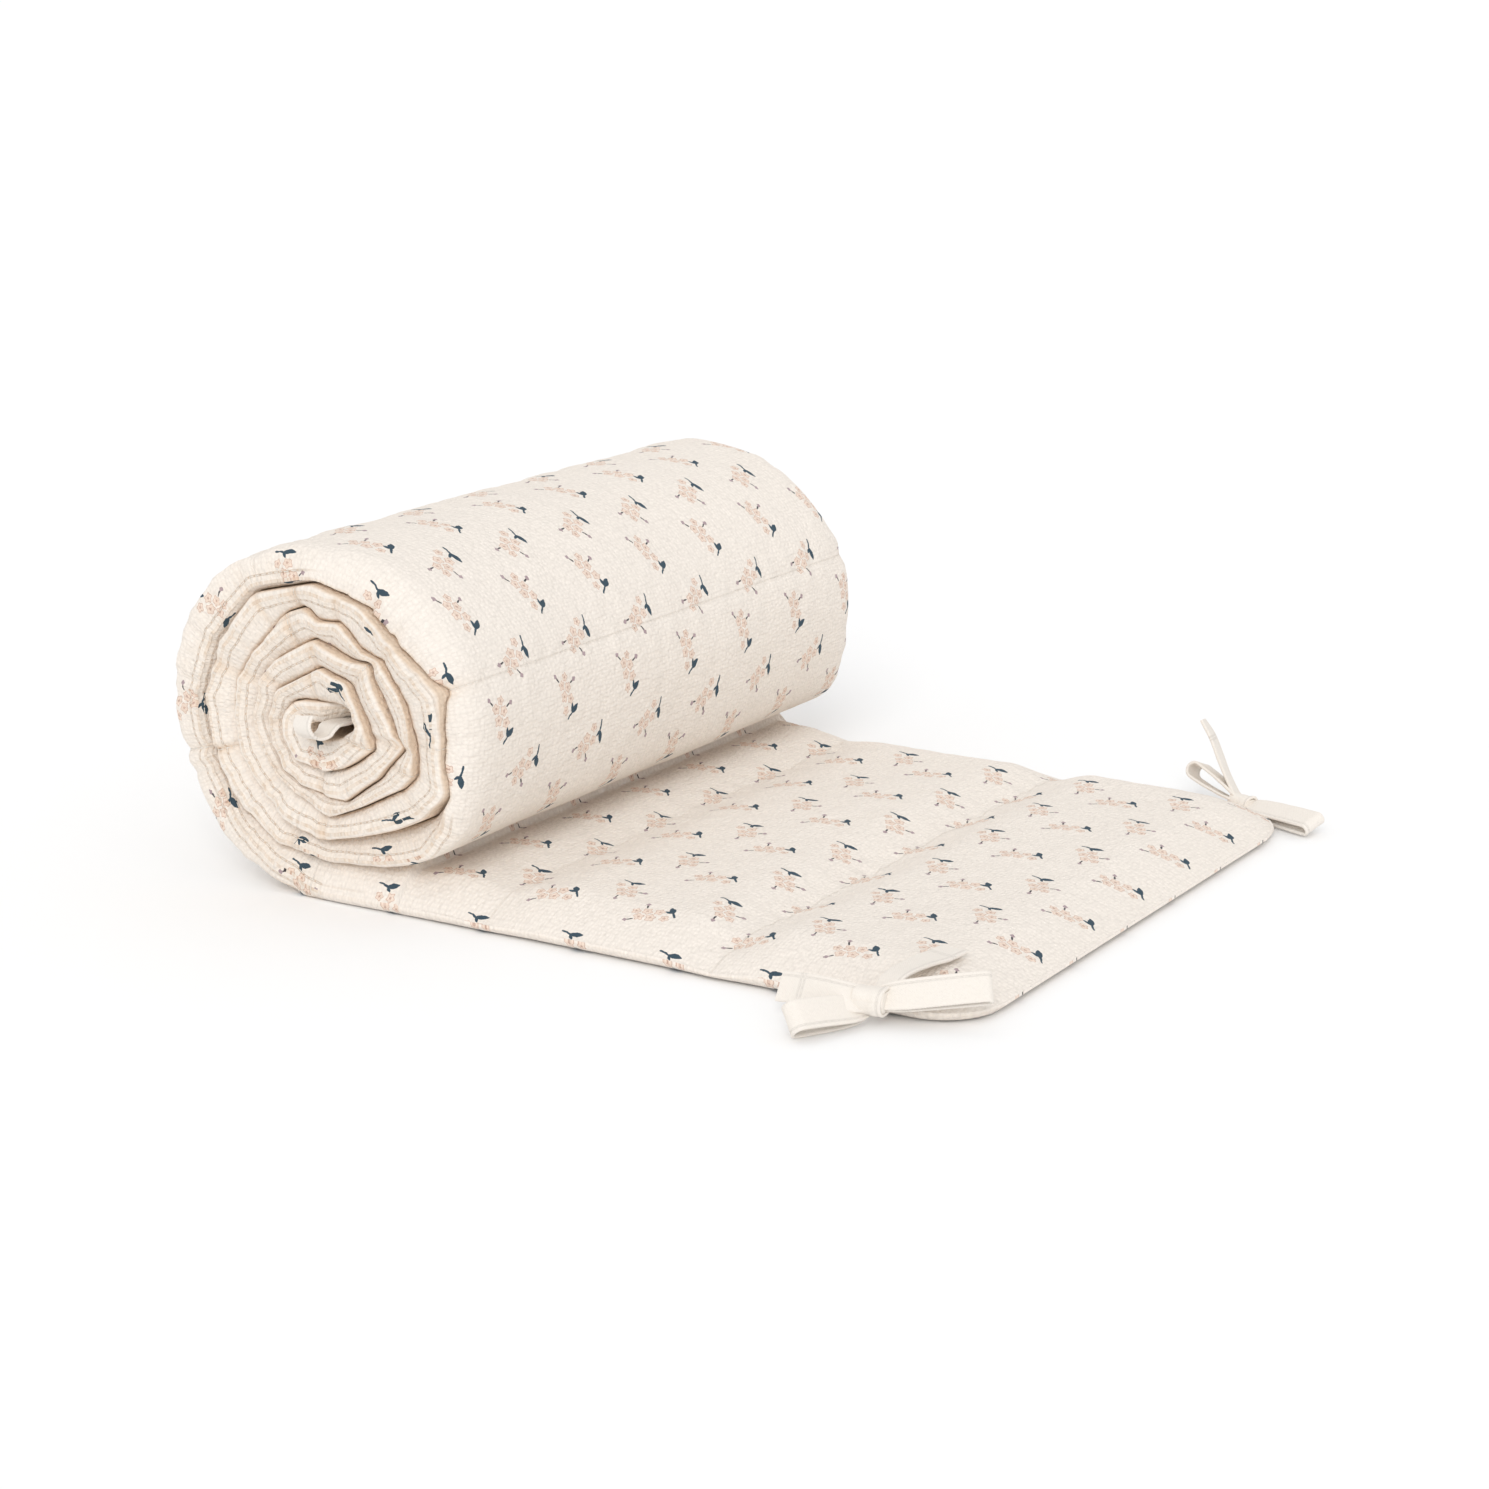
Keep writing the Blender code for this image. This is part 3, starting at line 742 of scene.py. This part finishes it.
def spray_point(start, turned, mirrored):
    """The point's place in the nearest spray of one kind of row, turned upright."""
    moved = vector_calc("SUBTRACT", drawn, (*start, 0))
    wrapped = add_node("ShaderNodeVectorMath", operation="WRAP")
    half = SPRAY_PITCH / 2
    for socket, value in zip(wrapped.inputs, (moved, (half, half, half), (-half, -half, -half))):
        feed(socket, value)
    turn = add_node("ShaderNodeVectorRotate", rotation_type="Z_AXIS")
    feed(turn.inputs["Vector"], vector_calc("MULTIPLY", wrapped.outputs[0], (1, 1, 0)))
    turn.inputs["Angle"].default_value = -turned
    return vector_calc("MULTIPLY", turn.outputs[0], (1, -1 if mirrored else 1, 0))


even_point = spray_point((0.0, 0.0), 0.0, False)
odd_point = spray_point(ODD_START, ODD_TURN, True)
even_near = calc("LESS_THAN", vector_calc("LENGTH", even_point, output=1),
                 vector_calc("LENGTH", odd_point, output=1))
odd_near = calc("SUBTRACT", 1.0, even_near)
choose = add_node("ShaderNodeMix", data_type="VECTOR")
feed(choose.inputs[0], even_near)
feed(choose.inputs[4], odd_point)
feed(choose.inputs[5], even_point)
spray = choose.outputs[1]

# %% Draw it
printed = CREAM
petals, lines = 0.0, 0.0
for x, y, radius, turned_by in BLOSSOMS:
    found = use_group(blossom, (spray, (x, y, 0), radius, turned_by))
    petals = calc("MAXIMUM", petals, found[0])
    lines = calc("MAXIMUM", lines, found[1])
faded = texture("ShaderNodeTexNoise", millimetres, Scale=1.1)
fade = times_add(faded[0], 1.0, 0.42, clamp=True)
printed = mix_colour(times(petals, fade), printed, PETAL_COLOUR)
printed = mix_colour(times(times(lines, fade), 0.80),
                     printed, LINE_COLOUR)
for ink, colour in INKS.items():
    cover = 0.0
    for x, y, way_x, way_y, ends, belly, stroke_ink, kinds in STROKES:
        if stroke_ink == ink:
            found = use_group(stroke, (spray, (x, y, 0), (way_x, way_y, 0), ends, belly))[0]
            if kinds != "both":
                found = times(found, even_near if kinds == "even" else odd_near)
            cover = calc("MAXIMUM", cover, found)
    printed = mix_colour(times(cover, 0.97), printed, colour)
print("print nodes:", len(cotton.nodes))

# %% [markdown]
# ## Crinkled weave
#
# Under the print is a cloth with raised little cells, like a very fine waffle that was washed and left
# uneven. Cells and threads are far too small to model, so they are a height for the shader's bump. Natural
# cotton also keeps some bits of the seed husk, which show as tiny brown specks.

# %% Weave, crinkles and specks
def cloth_texture(kind, stretch, **values):
    """A texture over the cloth's millimetres, stretched per direction."""
    return texture(kind, vector_calc("MULTIPLY", millimetres, stretch), Scale=1.0, **values)


cells = cloth_texture("ShaderNodeTexVoronoi", (0.62, 0.46, 1), Randomness=0.55)
threads = cloth_texture("ShaderNodeTexNoise", (2.6, 1.6, 1), Detail=4)
creping = cloth_texture("ShaderNodeTexNoise", (0.34, 0.20, 1), Detail=3)
height = times(cells["Distance"], -1.1)
height = times_add(threads[0], 0.7, height)
height = times_add(creping[0], 0.7, height)
cotton_relief = add_bump(cotton_shader, strength=0.7, distance=0.0009)

specks = cloth_texture("ShaderNodeTexVoronoi", (0.11, 0.11, 1), Randomness=1.0)
rarely = calc("GREATER_THAN", vector_calc("DOT_PRODUCT", specks["Color"], (1, 0, 0),
                                                  output=1), 0.45)
speck = times(soft_below(specks["Distance"], 0.022, 0.010), rarely)
printed = mix_colour(times(speck, 0.6), printed, (0.42, 0.25, 0.16, 1))

# %% Painted shade in the creases, along the gathered edge and in the weave
CREASE_PAINTED_SHADE = (0.90, 0.79, 0.68, 1)     # painted tan shade in the creases and folds: thin cream cloth looks tan where light has passed through it twice
EDGE_PAINTED_SHADE = (0.98, 0.93, 0.87, 1)       # and a lighter painted shade where it is gathered along the edge

edge_gather_and_shade = mark("edge_gather_and_shade")
gathers = cloth_texture("ShaderNodeTexNoise", (0.75, 0.10, 1), Detail=3)
patches = times_add(gathers[0], 1.6, -0.35, clamp=True)
# Light painted shade along the gathered edge, in patches
printed = mix_colour(times(edge_gather_and_shade, patches), printed, EDGE_PAINTED_SHADE, "MULTIPLY")
painted_crease_shade = mark("painted_crease_shade")
# Painted tan shade in the creases and folds
printed = mix_colour(painted_crease_shade, printed, CREASE_PAINTED_SHADE, "MULTIPLY")
shade = times_add(creping[0], 0.08, 0.96)
shade = times(shade, times_add(cells["Distance"], -0.16, 1.07))
edge_height = times(times(gathers[0], edge_gather_and_shade), 2.2)
print("cotton nodes:", len(cotton.nodes))

# %% [markdown]
# ## Stitches
#
# Two kinds of stitching hold the bumper together. The rows of quilting go right through the wadding, so
# their thread lies in a narrow groove. The edge is held by a row beside the seam, which shows where the band
# is rolled up. A machine stitch is about three millimetres long, and the thread dips into the cloth between
# two stitches. Every point of the cover already knows how far it is from both kinds of row, so the shader
# only has to draw the dashes and paint shade into their grooves.

# %% Rows of stitches
BAND_STITCH = (3.2, 0.36, 0.04, 0.17, 0.06, 0.40, 0.32)     # dashes() below says what each one is
EDGE_ROW = 2.8              # how far in from the seam the edge's row is
THREAD_COLOUR = (0.92, 0.86, 0.78, 1)
# painted shade in the grooves of the stitch rows
GROOVE_PAINTED_SHADE = (0.76, 0.66, 0.57, 1)
ROW_GROOVE = 0.22           # a row of quilting shows this much of it, for its thread is pulled tight
SEAM_TINT = (0.80, 0.71, 0.62, 1)


def dashes(across, along, stitch):
    """The thread and the groove of one row of stitches: two shares.

    A stitch is: millimetres from one to the next; half of the dash as a share of that, and how soft its
    ends are; half of the thread's width (mm) and its softness; and the same of its groove.
    """
    pitch, dash_half, dash_soft, thread_half, thread_soft, groove_half, groove_soft = stitch
    phase = calc("FRACT", times(along, 1 / pitch))
    dash = soft_below(calc("ABSOLUTE", calc("SUBTRACT", phase, 0.5)), dash_half, dash_soft)
    thread = times(soft_below(across, thread_half, thread_soft), dash)
    return thread, soft_below(across, groove_half, groove_soft)


place = split_up(millimetres)
row_side, row_near, edge_way = mark("row_side"), mark("row_near"), mark("edge_way")
row_thread, row_groove = dashes(calc("ABSOLUTE", row_side), place["Y"], BAND_STITCH)
edge_thread, edge_groove = dashes(
    calc("ABSOLUTE", calc("SUBTRACT", edge_way, EDGE_ROW)), place["X"], BAND_STITCH)
narrow_edge = times_add(edge_gather_and_shade, 1.6, -0.25, clamp=True)
edge_thread = times(edge_thread, narrow_edge)
edge_groove = times(edge_groove, narrow_edge)
seam_line = times(soft_below(edge_way, 0.16, 0.12), narrow_edge)
seam_line = times(seam_line, patches)
row_thread = times(row_thread, row_near)
row_groove = times(row_groove, times(row_near, ROW_GROOVE))
thread = calc("MAXIMUM", row_thread, edge_thread)
groove = calc("MAXIMUM", row_groove, edge_groove)
# Painted shade in the stitch grooves, where the thread sinks into the cloth
printed = mix_colour(groove, printed, GROOVE_PAINTED_SHADE, "MULTIPLY")
printed = mix_colour(seam_line, printed, SEAM_TINT, "MULTIPLY")
printed = mix_colour(thread, printed, THREAD_COLOUR)
height = calc("ADD", height, edge_height)
height = times_add(groove, -0.4, height)
feed(cotton_relief, times_add(thread, 0.7, height))
feed(cotton_shader.inputs["Base Color"], vector_calc("SCALE", printed, scale=shade))

# %% [markdown]
# ## The tape of the ties
#
# The ties are narrow strips of cotton: a strip is folded to the inside along both sides, folded in half and
# closed with one row of stitches near the open side. That gives a flat tape with two full, rounded sides.
# A length of it is swept here along a route: rows that hold the middle of the tape and the direction across
# it. A smooth curve runs through the rows, so a few of them are enough for a soft bend.

# %% Routes
MM = 0.001
TAPE_WIDTH = 11.5 * MM
TAPE_THICK = 1.3 * MM
PINCH = 0.35                # how much the tape is gathered up at the knot
PINCH_REACH = 4 * MM        # and how soon it spreads again
TAPE_PROFILE = (            # across the tape: share of the half width, share of the half thickness
    (-1.00, 0.00), (-0.985, 0.62), (-0.93, 0.98), (-0.84, 1.00), (-0.66, 0.94), (-0.40, 0.88), (-0.13, 0.84),
    (0.13, 0.84), (0.40, 0.88), (0.60, 0.88), (0.72, 0.74), (0.84, 0.98), (0.93, 1.00), (0.985, 0.70),
    (1.00, 0.00),
)


def smooth_route(rows, steps):
    """A Catmull-Rom curve through rows of any width, with equal steps between two rows."""
    table = np.array(rows, dtype=float)
    padded = np.concatenate([2 * table[:1] - table[1:2], table, 2 * table[-1:] - table[-2:-1]])
    curve = []
    for index in range(len(table) - 1):
        p0, p1, p2, p3 = padded[index:index + 4]
        for t in np.arange(steps) / steps:
            curve.append(p1 + 0.5 * t * (p2 - p0 + t * (2 * p0 - 5 * p1 + 4 * p2 - p3 + t * (
                3 * (p1 - p2) + p3 - p0))))
    return np.array(curve + [table[-1]])


def tape_frames(route):
    """For every row of a smooth route: middle, direction along, across and out of the tape's face."""
    frames = []
    for index, row in enumerate(route):
        before, ahead = route[max(index - 1, 0)], route[min(index + 1, len(route) - 1)]
        along = Vector(ahead[:3] - before[:3]).normalized()
        across = Vector(row[3:6])
        across = (across - along * across.dot(along)).normalized()
        frames.append((Vector(row[:3]) * MM, along, across, along.cross(across)))
    return frames


# %% Sweep the tape
def add_tape(shape, frames, width=TAPE_WIDTH, pleated=False, hemmed=False):
    """Sweep the tape's section along the frames and close both ends.

    The map is in metres of tape; along a free end it counts up to 0 at the hem.
    """
    layer = shape.loops.layers.uv.get("tape") or shape.loops.layers.uv.new("tape")
    upper = [(u * width / 2, v * TAPE_THICK / 2) for u, v in TAPE_PROFILE]
    lower = [(u, -v) for u, v in upper[-2:0:-1]]
    section = upper + lower
    steps = [(after[0] - before[0]).length for before, after in zip(frames, frames[1:])]
    places = [sum(steps[:index]) for index in range(len(frames))]
    distance = places[-1]
    rings = []
    for index, (middle, along, across, face) in enumerate(frames):
        from_knot = places[index] if hemmed else min(places[index], distance - places[index])
        narrow = 1 - PINCH * math.exp(-from_knot / PINCH_REACH) * (not pleated)
        ripple = 0.00012 * noise.noise(middle * 160)
        pleats = 0.00035 * math.cos(index / 9) if pleated else 0
        rings.append([shape.verts.new(middle + across * u * narrow + face * (
            v + ripple + pleats * math.cos(u / width * 14))) for u, v in section])
    places = [place - distance if hemmed else place + 0.02 for place in places]
    size = len(section)
    for row in range(len(rings) - 1):
        for index in range(size):
            after = (index + 1) % size
            quad = shape.faces.new((rings[row][index], rings[row][after],
                                    rings[row + 1][after], rings[row + 1][index]))
            spots = ((row, index), (row, after), (row + 1, after), (row + 1, index))
            for loop, (at, point) in zip(quad.loops, spots):
                loop[layer].uv = (places[at], section[point][0])
    shape.faces.new(rings[0][::-1])
    shape.faces.new(rings[-1])
    return distance


def finish_piece(name, shape, material):
    """Turn a working shape into an object with outward faces and a finish."""
    bmesh.ops.recalc_face_normals(shape, faces=shape.faces)
    mesh = bpy.data.meshes.new(name)
    shape.to_mesh(mesh)
    shape.free()
    mesh.materials.append(material)
    mesh.shade_smooth()
    mesh.set_sharp_from_angle(angle=math.radians(60))
    piece = add_object(name, mesh)
    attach(piece, "root")
    return piece


# %% [markdown]
# ## Bows
#
# A bow has two loops, up to two free ends that can be seen, and a knot. A loop is one route: out from the
# knot, round a tip and back. Close to the knot the two runs lie flat on each other and are gathered up, and
# they part towards the tip, which is how a loop of soft tape stands when it is pulled tight in the middle
# only. The knot is the same tape once more, wrapped round the others.

# %% Loops, ends and knots (mm)
NEAR_KNOT = ((255.4, -159.6, 9.4), (11.2, 8.8, 8.8), 8.0)
FAR_KNOT = ((262.4, 152.6, 4.6), (10.0, 6.6, 7.2), -18.0)
NEAR_LOOPS = (
    # knot x, y, z, tip x, y, z, across x, y, z, opening
    (252.5, -159.5, 5.7, 238.0, -187.0, 7.3, 0.60, -0.30, -0.74, 7.2),
    (256.5, -158.2, 9.8, 293.0, -141.4, 15.6, -0.36, 0.52, 0.78, 4.0),
)
FAR_LOOPS = (
    (261.4, 154.4, 5.0, 235.6, 161.4, 15.0, 0.10, 0.90, -0.34, 6.6),
    (266.4, 151.0, 4.6, 301.6, 137.2, 5.4, 0.28, -0.92, -0.26, 4.4),
)
NEAR_ENDS = (
    (
        # middle x, y, z, across x, y, z
        (255.5, -160.2, 9.2, 0.0, 0.62, 0.78), (247.9, -165.2, 11.2, -0.16, 0.66, 0.74),
        (235.9, -167.4, 12.0, -0.20, 0.60, 0.78), (222.6, -167.5, 11.1, -0.25, 0.58, 0.78),
    ),
    (
        (257.0, -156.0, 10.0, 0.95, -0.10, 0.20), (258.5, -149.0, 15.6, 0.96, -0.20, 0.16),
        (260.5, -136.0, 16.9, 0.97, -0.22, 0.06), (262.0, -124.0, 16.3, 0.97, -0.22, -0.04),
        (263.0, -112.0, 15.9, 0.96, -0.26, 0.0),
    ),
)
FAR_ENDS = (
    (
        (262.0, 154.4, 5.2, 0.10, 0.90, -0.40), (259.0, 156.4, 6.4, -0.05, 0.92, -0.35),
        (255.8, 157.8, 9.6, -0.18, 0.95, -0.20), (252.2, 158.6, 15.2, -0.25, 0.96, -0.10),
        (248.4, 159.2, 22.6, -0.26, 0.96, 0.0), (244.2, 159.4, 31.2, -0.30, 0.95, 0.0),
        (239.6, 159.4, 37.6, -0.42, 0.90, 0.0),
    ),
)
CORE_CURL = (
    (8.8, -122.0, 72.4, 1.0, 0.0, 0.05), (8.8, -134.0, 72.4, 1.0, 0.0, 0.05),
    (8.8, -143.0, 72.6, 1.0, 0.0, 0.05), (8.8, -148.6, 72.8, 1.0, -0.15, 0.1),
    (8.8, -151.4, 71.6, 0.95, -0.30, 0.10), (8.2, -153.6, 69.7, 0.95, -0.30, 0.10),
    (6.9, -157.4, 69.2, 0.95, -0.30, 0.10), (5.8, -160.4, 71.0, 0.95, -0.30, 0.10),
    (5.1, -161.8, 73.8, 0.95, -0.30, 0.12), (4.9, -161.4, 76.2, 0.95, -0.30, 0.16),
    (5.0, -160.0, 78.2, 0.95, -0.28, 0.20),
)
ROUTE_STEPS = 10            # points between two rows of an end's route
RUN_APART = 0.75            # half of the gap between a loop's runs at the knot
RUN_ROWS = 26               # points in each run of a loop
TIP_POINTS = 14             # points round half of its tip
KNOT_ROWS = 56              # points round a knot


def loop_route(loop):
    """One loop as rows of (middle, across) in millimetres."""
    knot, tip, across = Vector(loop[0:3]), Vector(loop[3:6]), Vector(loop[6:9])
    radius = loop[9] / 2
    along = (tip - knot).normalized()
    straight = (tip - knot).length - radius
    across = (across - along * across.dot(along)).normalized()
    apart = across.cross(along)
    run = [(straight * t, RUN_APART + (radius - RUN_APART) * math.sin(t * math.pi / 2))
           for t in np.arange(RUN_ROWS) / RUN_ROWS]
    run += [(straight + radius * math.cos(t), radius * math.sin(t))
            for t in np.linspace(math.pi / 2, 0, TIP_POINTS, endpoint=False)]
    run += [(straight + radius, 0)] + [(reach, -gap) for reach, gap in reversed(run)]
    return [(*(knot + along * reach + apart * gap), *across) for reach, gap in run]


# %% The knot
def knot_route(knot):
    """The tape's turn round the middle of a bow, as rows of (middle, across)."""
    centre, size, turned = knot
    spin = math.radians(turned)
    ahead = Vector((math.cos(spin), math.sin(spin), 0))
    aside = Vector((-math.sin(spin), math.cos(spin), 0))
    rows = []
    for step in range(KNOT_ROWS + 1):
        angle = math.radians(-100 + 380 * step / KNOT_ROWS)
        swell = 1 + 0.05 * step / KNOT_ROWS
        x = 0.5 * math.sin(angle)
        y, z = (math.copysign(abs(value) ** 0.8, value) * swell
                for value in (math.sin(angle), math.cos(angle)))
        middle = Vector(centre) + ahead * x + aside * y * size[1] / 2 + Vector((0, 0, z * size[2] / 2))
        rows.append((*middle, *(ahead + Vector((0, 0, 0.10 * math.sin(angle))))))
    return rows


def add_knot(shape, knot):
    """A pinched core with the tape wrapped round it."""
    centre, size, turned = knot
    start = len(shape.verts)
    bmesh.ops.create_cube(shape, size=1)
    block = list(shape.verts)[start:]
    edges = {edge for vert in block for edge in vert.link_edges}
    bmesh.ops.subdivide_edges(shape, edges=list(edges), cuts=9, use_grid_fill=True)
    spin = math.radians(turned)
    for vert in list(shape.verts)[start:]:      # the cuts have added some
        x, y, z = (coordinate * 2 for coordinate in vert.co)
        roundness = (abs(y) ** 3 + abs(z) ** 3) ** (1 / 3)
        if roundness > 0:
            scale = max(abs(y), abs(z)) / roundness
            y, z = y * scale, z * scale
        end = 0.92 - 0.10 * x ** 4 + 0.04 * math.sin(6 * math.atan2(z, y) + 2)
        x, y, z = (x * size[0] / 2 * 0.98, y * size[1] / 2 * end, z * size[2] / 2 * end)
        vert.co = (centre[0] + x * math.cos(spin) - y * math.sin(spin),
                   centre[1] + x * math.sin(spin) + y * math.cos(spin), centre[2] + z)
        vert.co *= MM
    return add_tape(shape, tape_frames(np.array(knot_route(knot))), width=size[0] * MM, pleated=True)


# %% [markdown]
# ## Tape cloth
#
# The tape is a plain weave: threads over and under each other, about twenty to the centimetre. One row of
# stitches runs along the side where it was sewn shut, and two rows close the hem at each free end.

# %% Tape material
TAPE_COLOUR = (0.84, 0.785, 0.72)
TAPE_ROW = 4.1              # the row of stitches, from the middle of the tape (mm)
HEM_ROWS = (-9.6, -8.2)     # and the two rows across a free end, from its tip (mm)
tape_material, tape, tape_shader = new_material("tape_cotton", TAPE_COLOUR, 0.88)
TAPE_STITCH = (2.8, 0.34, 0.05, 0.16, 0.06, 0.34, 0.26)
tree = tape

tape_map = vector_calc("SCALE", add_node("ShaderNodeUVMap", uv_map="tape").outputs[0], scale=1000.0)
along, over, _ = split_up(tape_map)
warp = calc("SINE", times(along, 2 * math.pi))
weft = calc("SINE", times(over, 2 * math.pi))
weave = times(warp, weft)
uneven = texture("ShaderNodeTexNoise", tape_map, Scale=0.9, Detail=4)[0]
tape_thread, tape_groove = 0.0, 0.0
for side, way, row_place in ((over, along, TAPE_ROW), *((along, over, place) for place in HEM_ROWS)):
    thread, groove = dashes(calc("ABSOLUTE", calc("SUBTRACT", side, row_place)), way, TAPE_STITCH)
    tape_thread = calc("MAXIMUM", tape_thread, thread)
    tape_groove = calc("MAXIMUM", tape_groove, groove)

tape_tone_and_groove_shade = times_add(uneven, 0.10, 0.95)
tape_tone_and_groove_shade = times_add(weave, 0.018, tape_tone_and_groove_shade)
# Painted shade in the tape's stitch grooves, on top of its random tone and weave
tape_tone_and_groove_shade = times_add(tape_groove, -0.10, tape_tone_and_groove_shade)
tape_tone_and_groove_shade = times_add(tape_thread, 0.10, tape_tone_and_groove_shade)
feed(tape_shader.inputs["Base Color"], vector_calc("SCALE", TAPE_COLOUR, scale=tape_tone_and_groove_shade))
relief = times_add(uneven, 1.2, times(weave, 0.22))
relief = times_add(tape_groove, -0.9, relief)
relief = times_add(tape_thread, 0.6, relief)
feed(add_bump(tape_shader, strength=0.6, distance=0.0004), relief)
print("tape nodes:", len(tape.nodes))

# %% Make the ties
TIES = (
    # name, knot, loops, free ends
    ("near_corner_tie", NEAR_KNOT, NEAR_LOOPS, NEAR_ENDS),
    ("far_corner_tie", FAR_KNOT, FAR_LOOPS, FAR_ENDS),
    ("core_tie", None, (), (CORE_CURL,)),
)
for name, knot, loops, ends in TIES:
    shape = bmesh.new()
    tape_length = 0
    for loop in loops:
        tape_length += add_tape(shape, tape_frames(np.array(loop_route(loop))))
    for end in ends:
        tape_length += add_tape(shape, tape_frames(smooth_route(end, ROUTE_STEPS)), hemmed=True)
    if knot:
        tape_length += add_knot(shape, knot)
    tie = finish_piece(name + "_tape", shape, tape_material)
    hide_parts(name)
    print(name, "tape length", round(tape_length, 3))
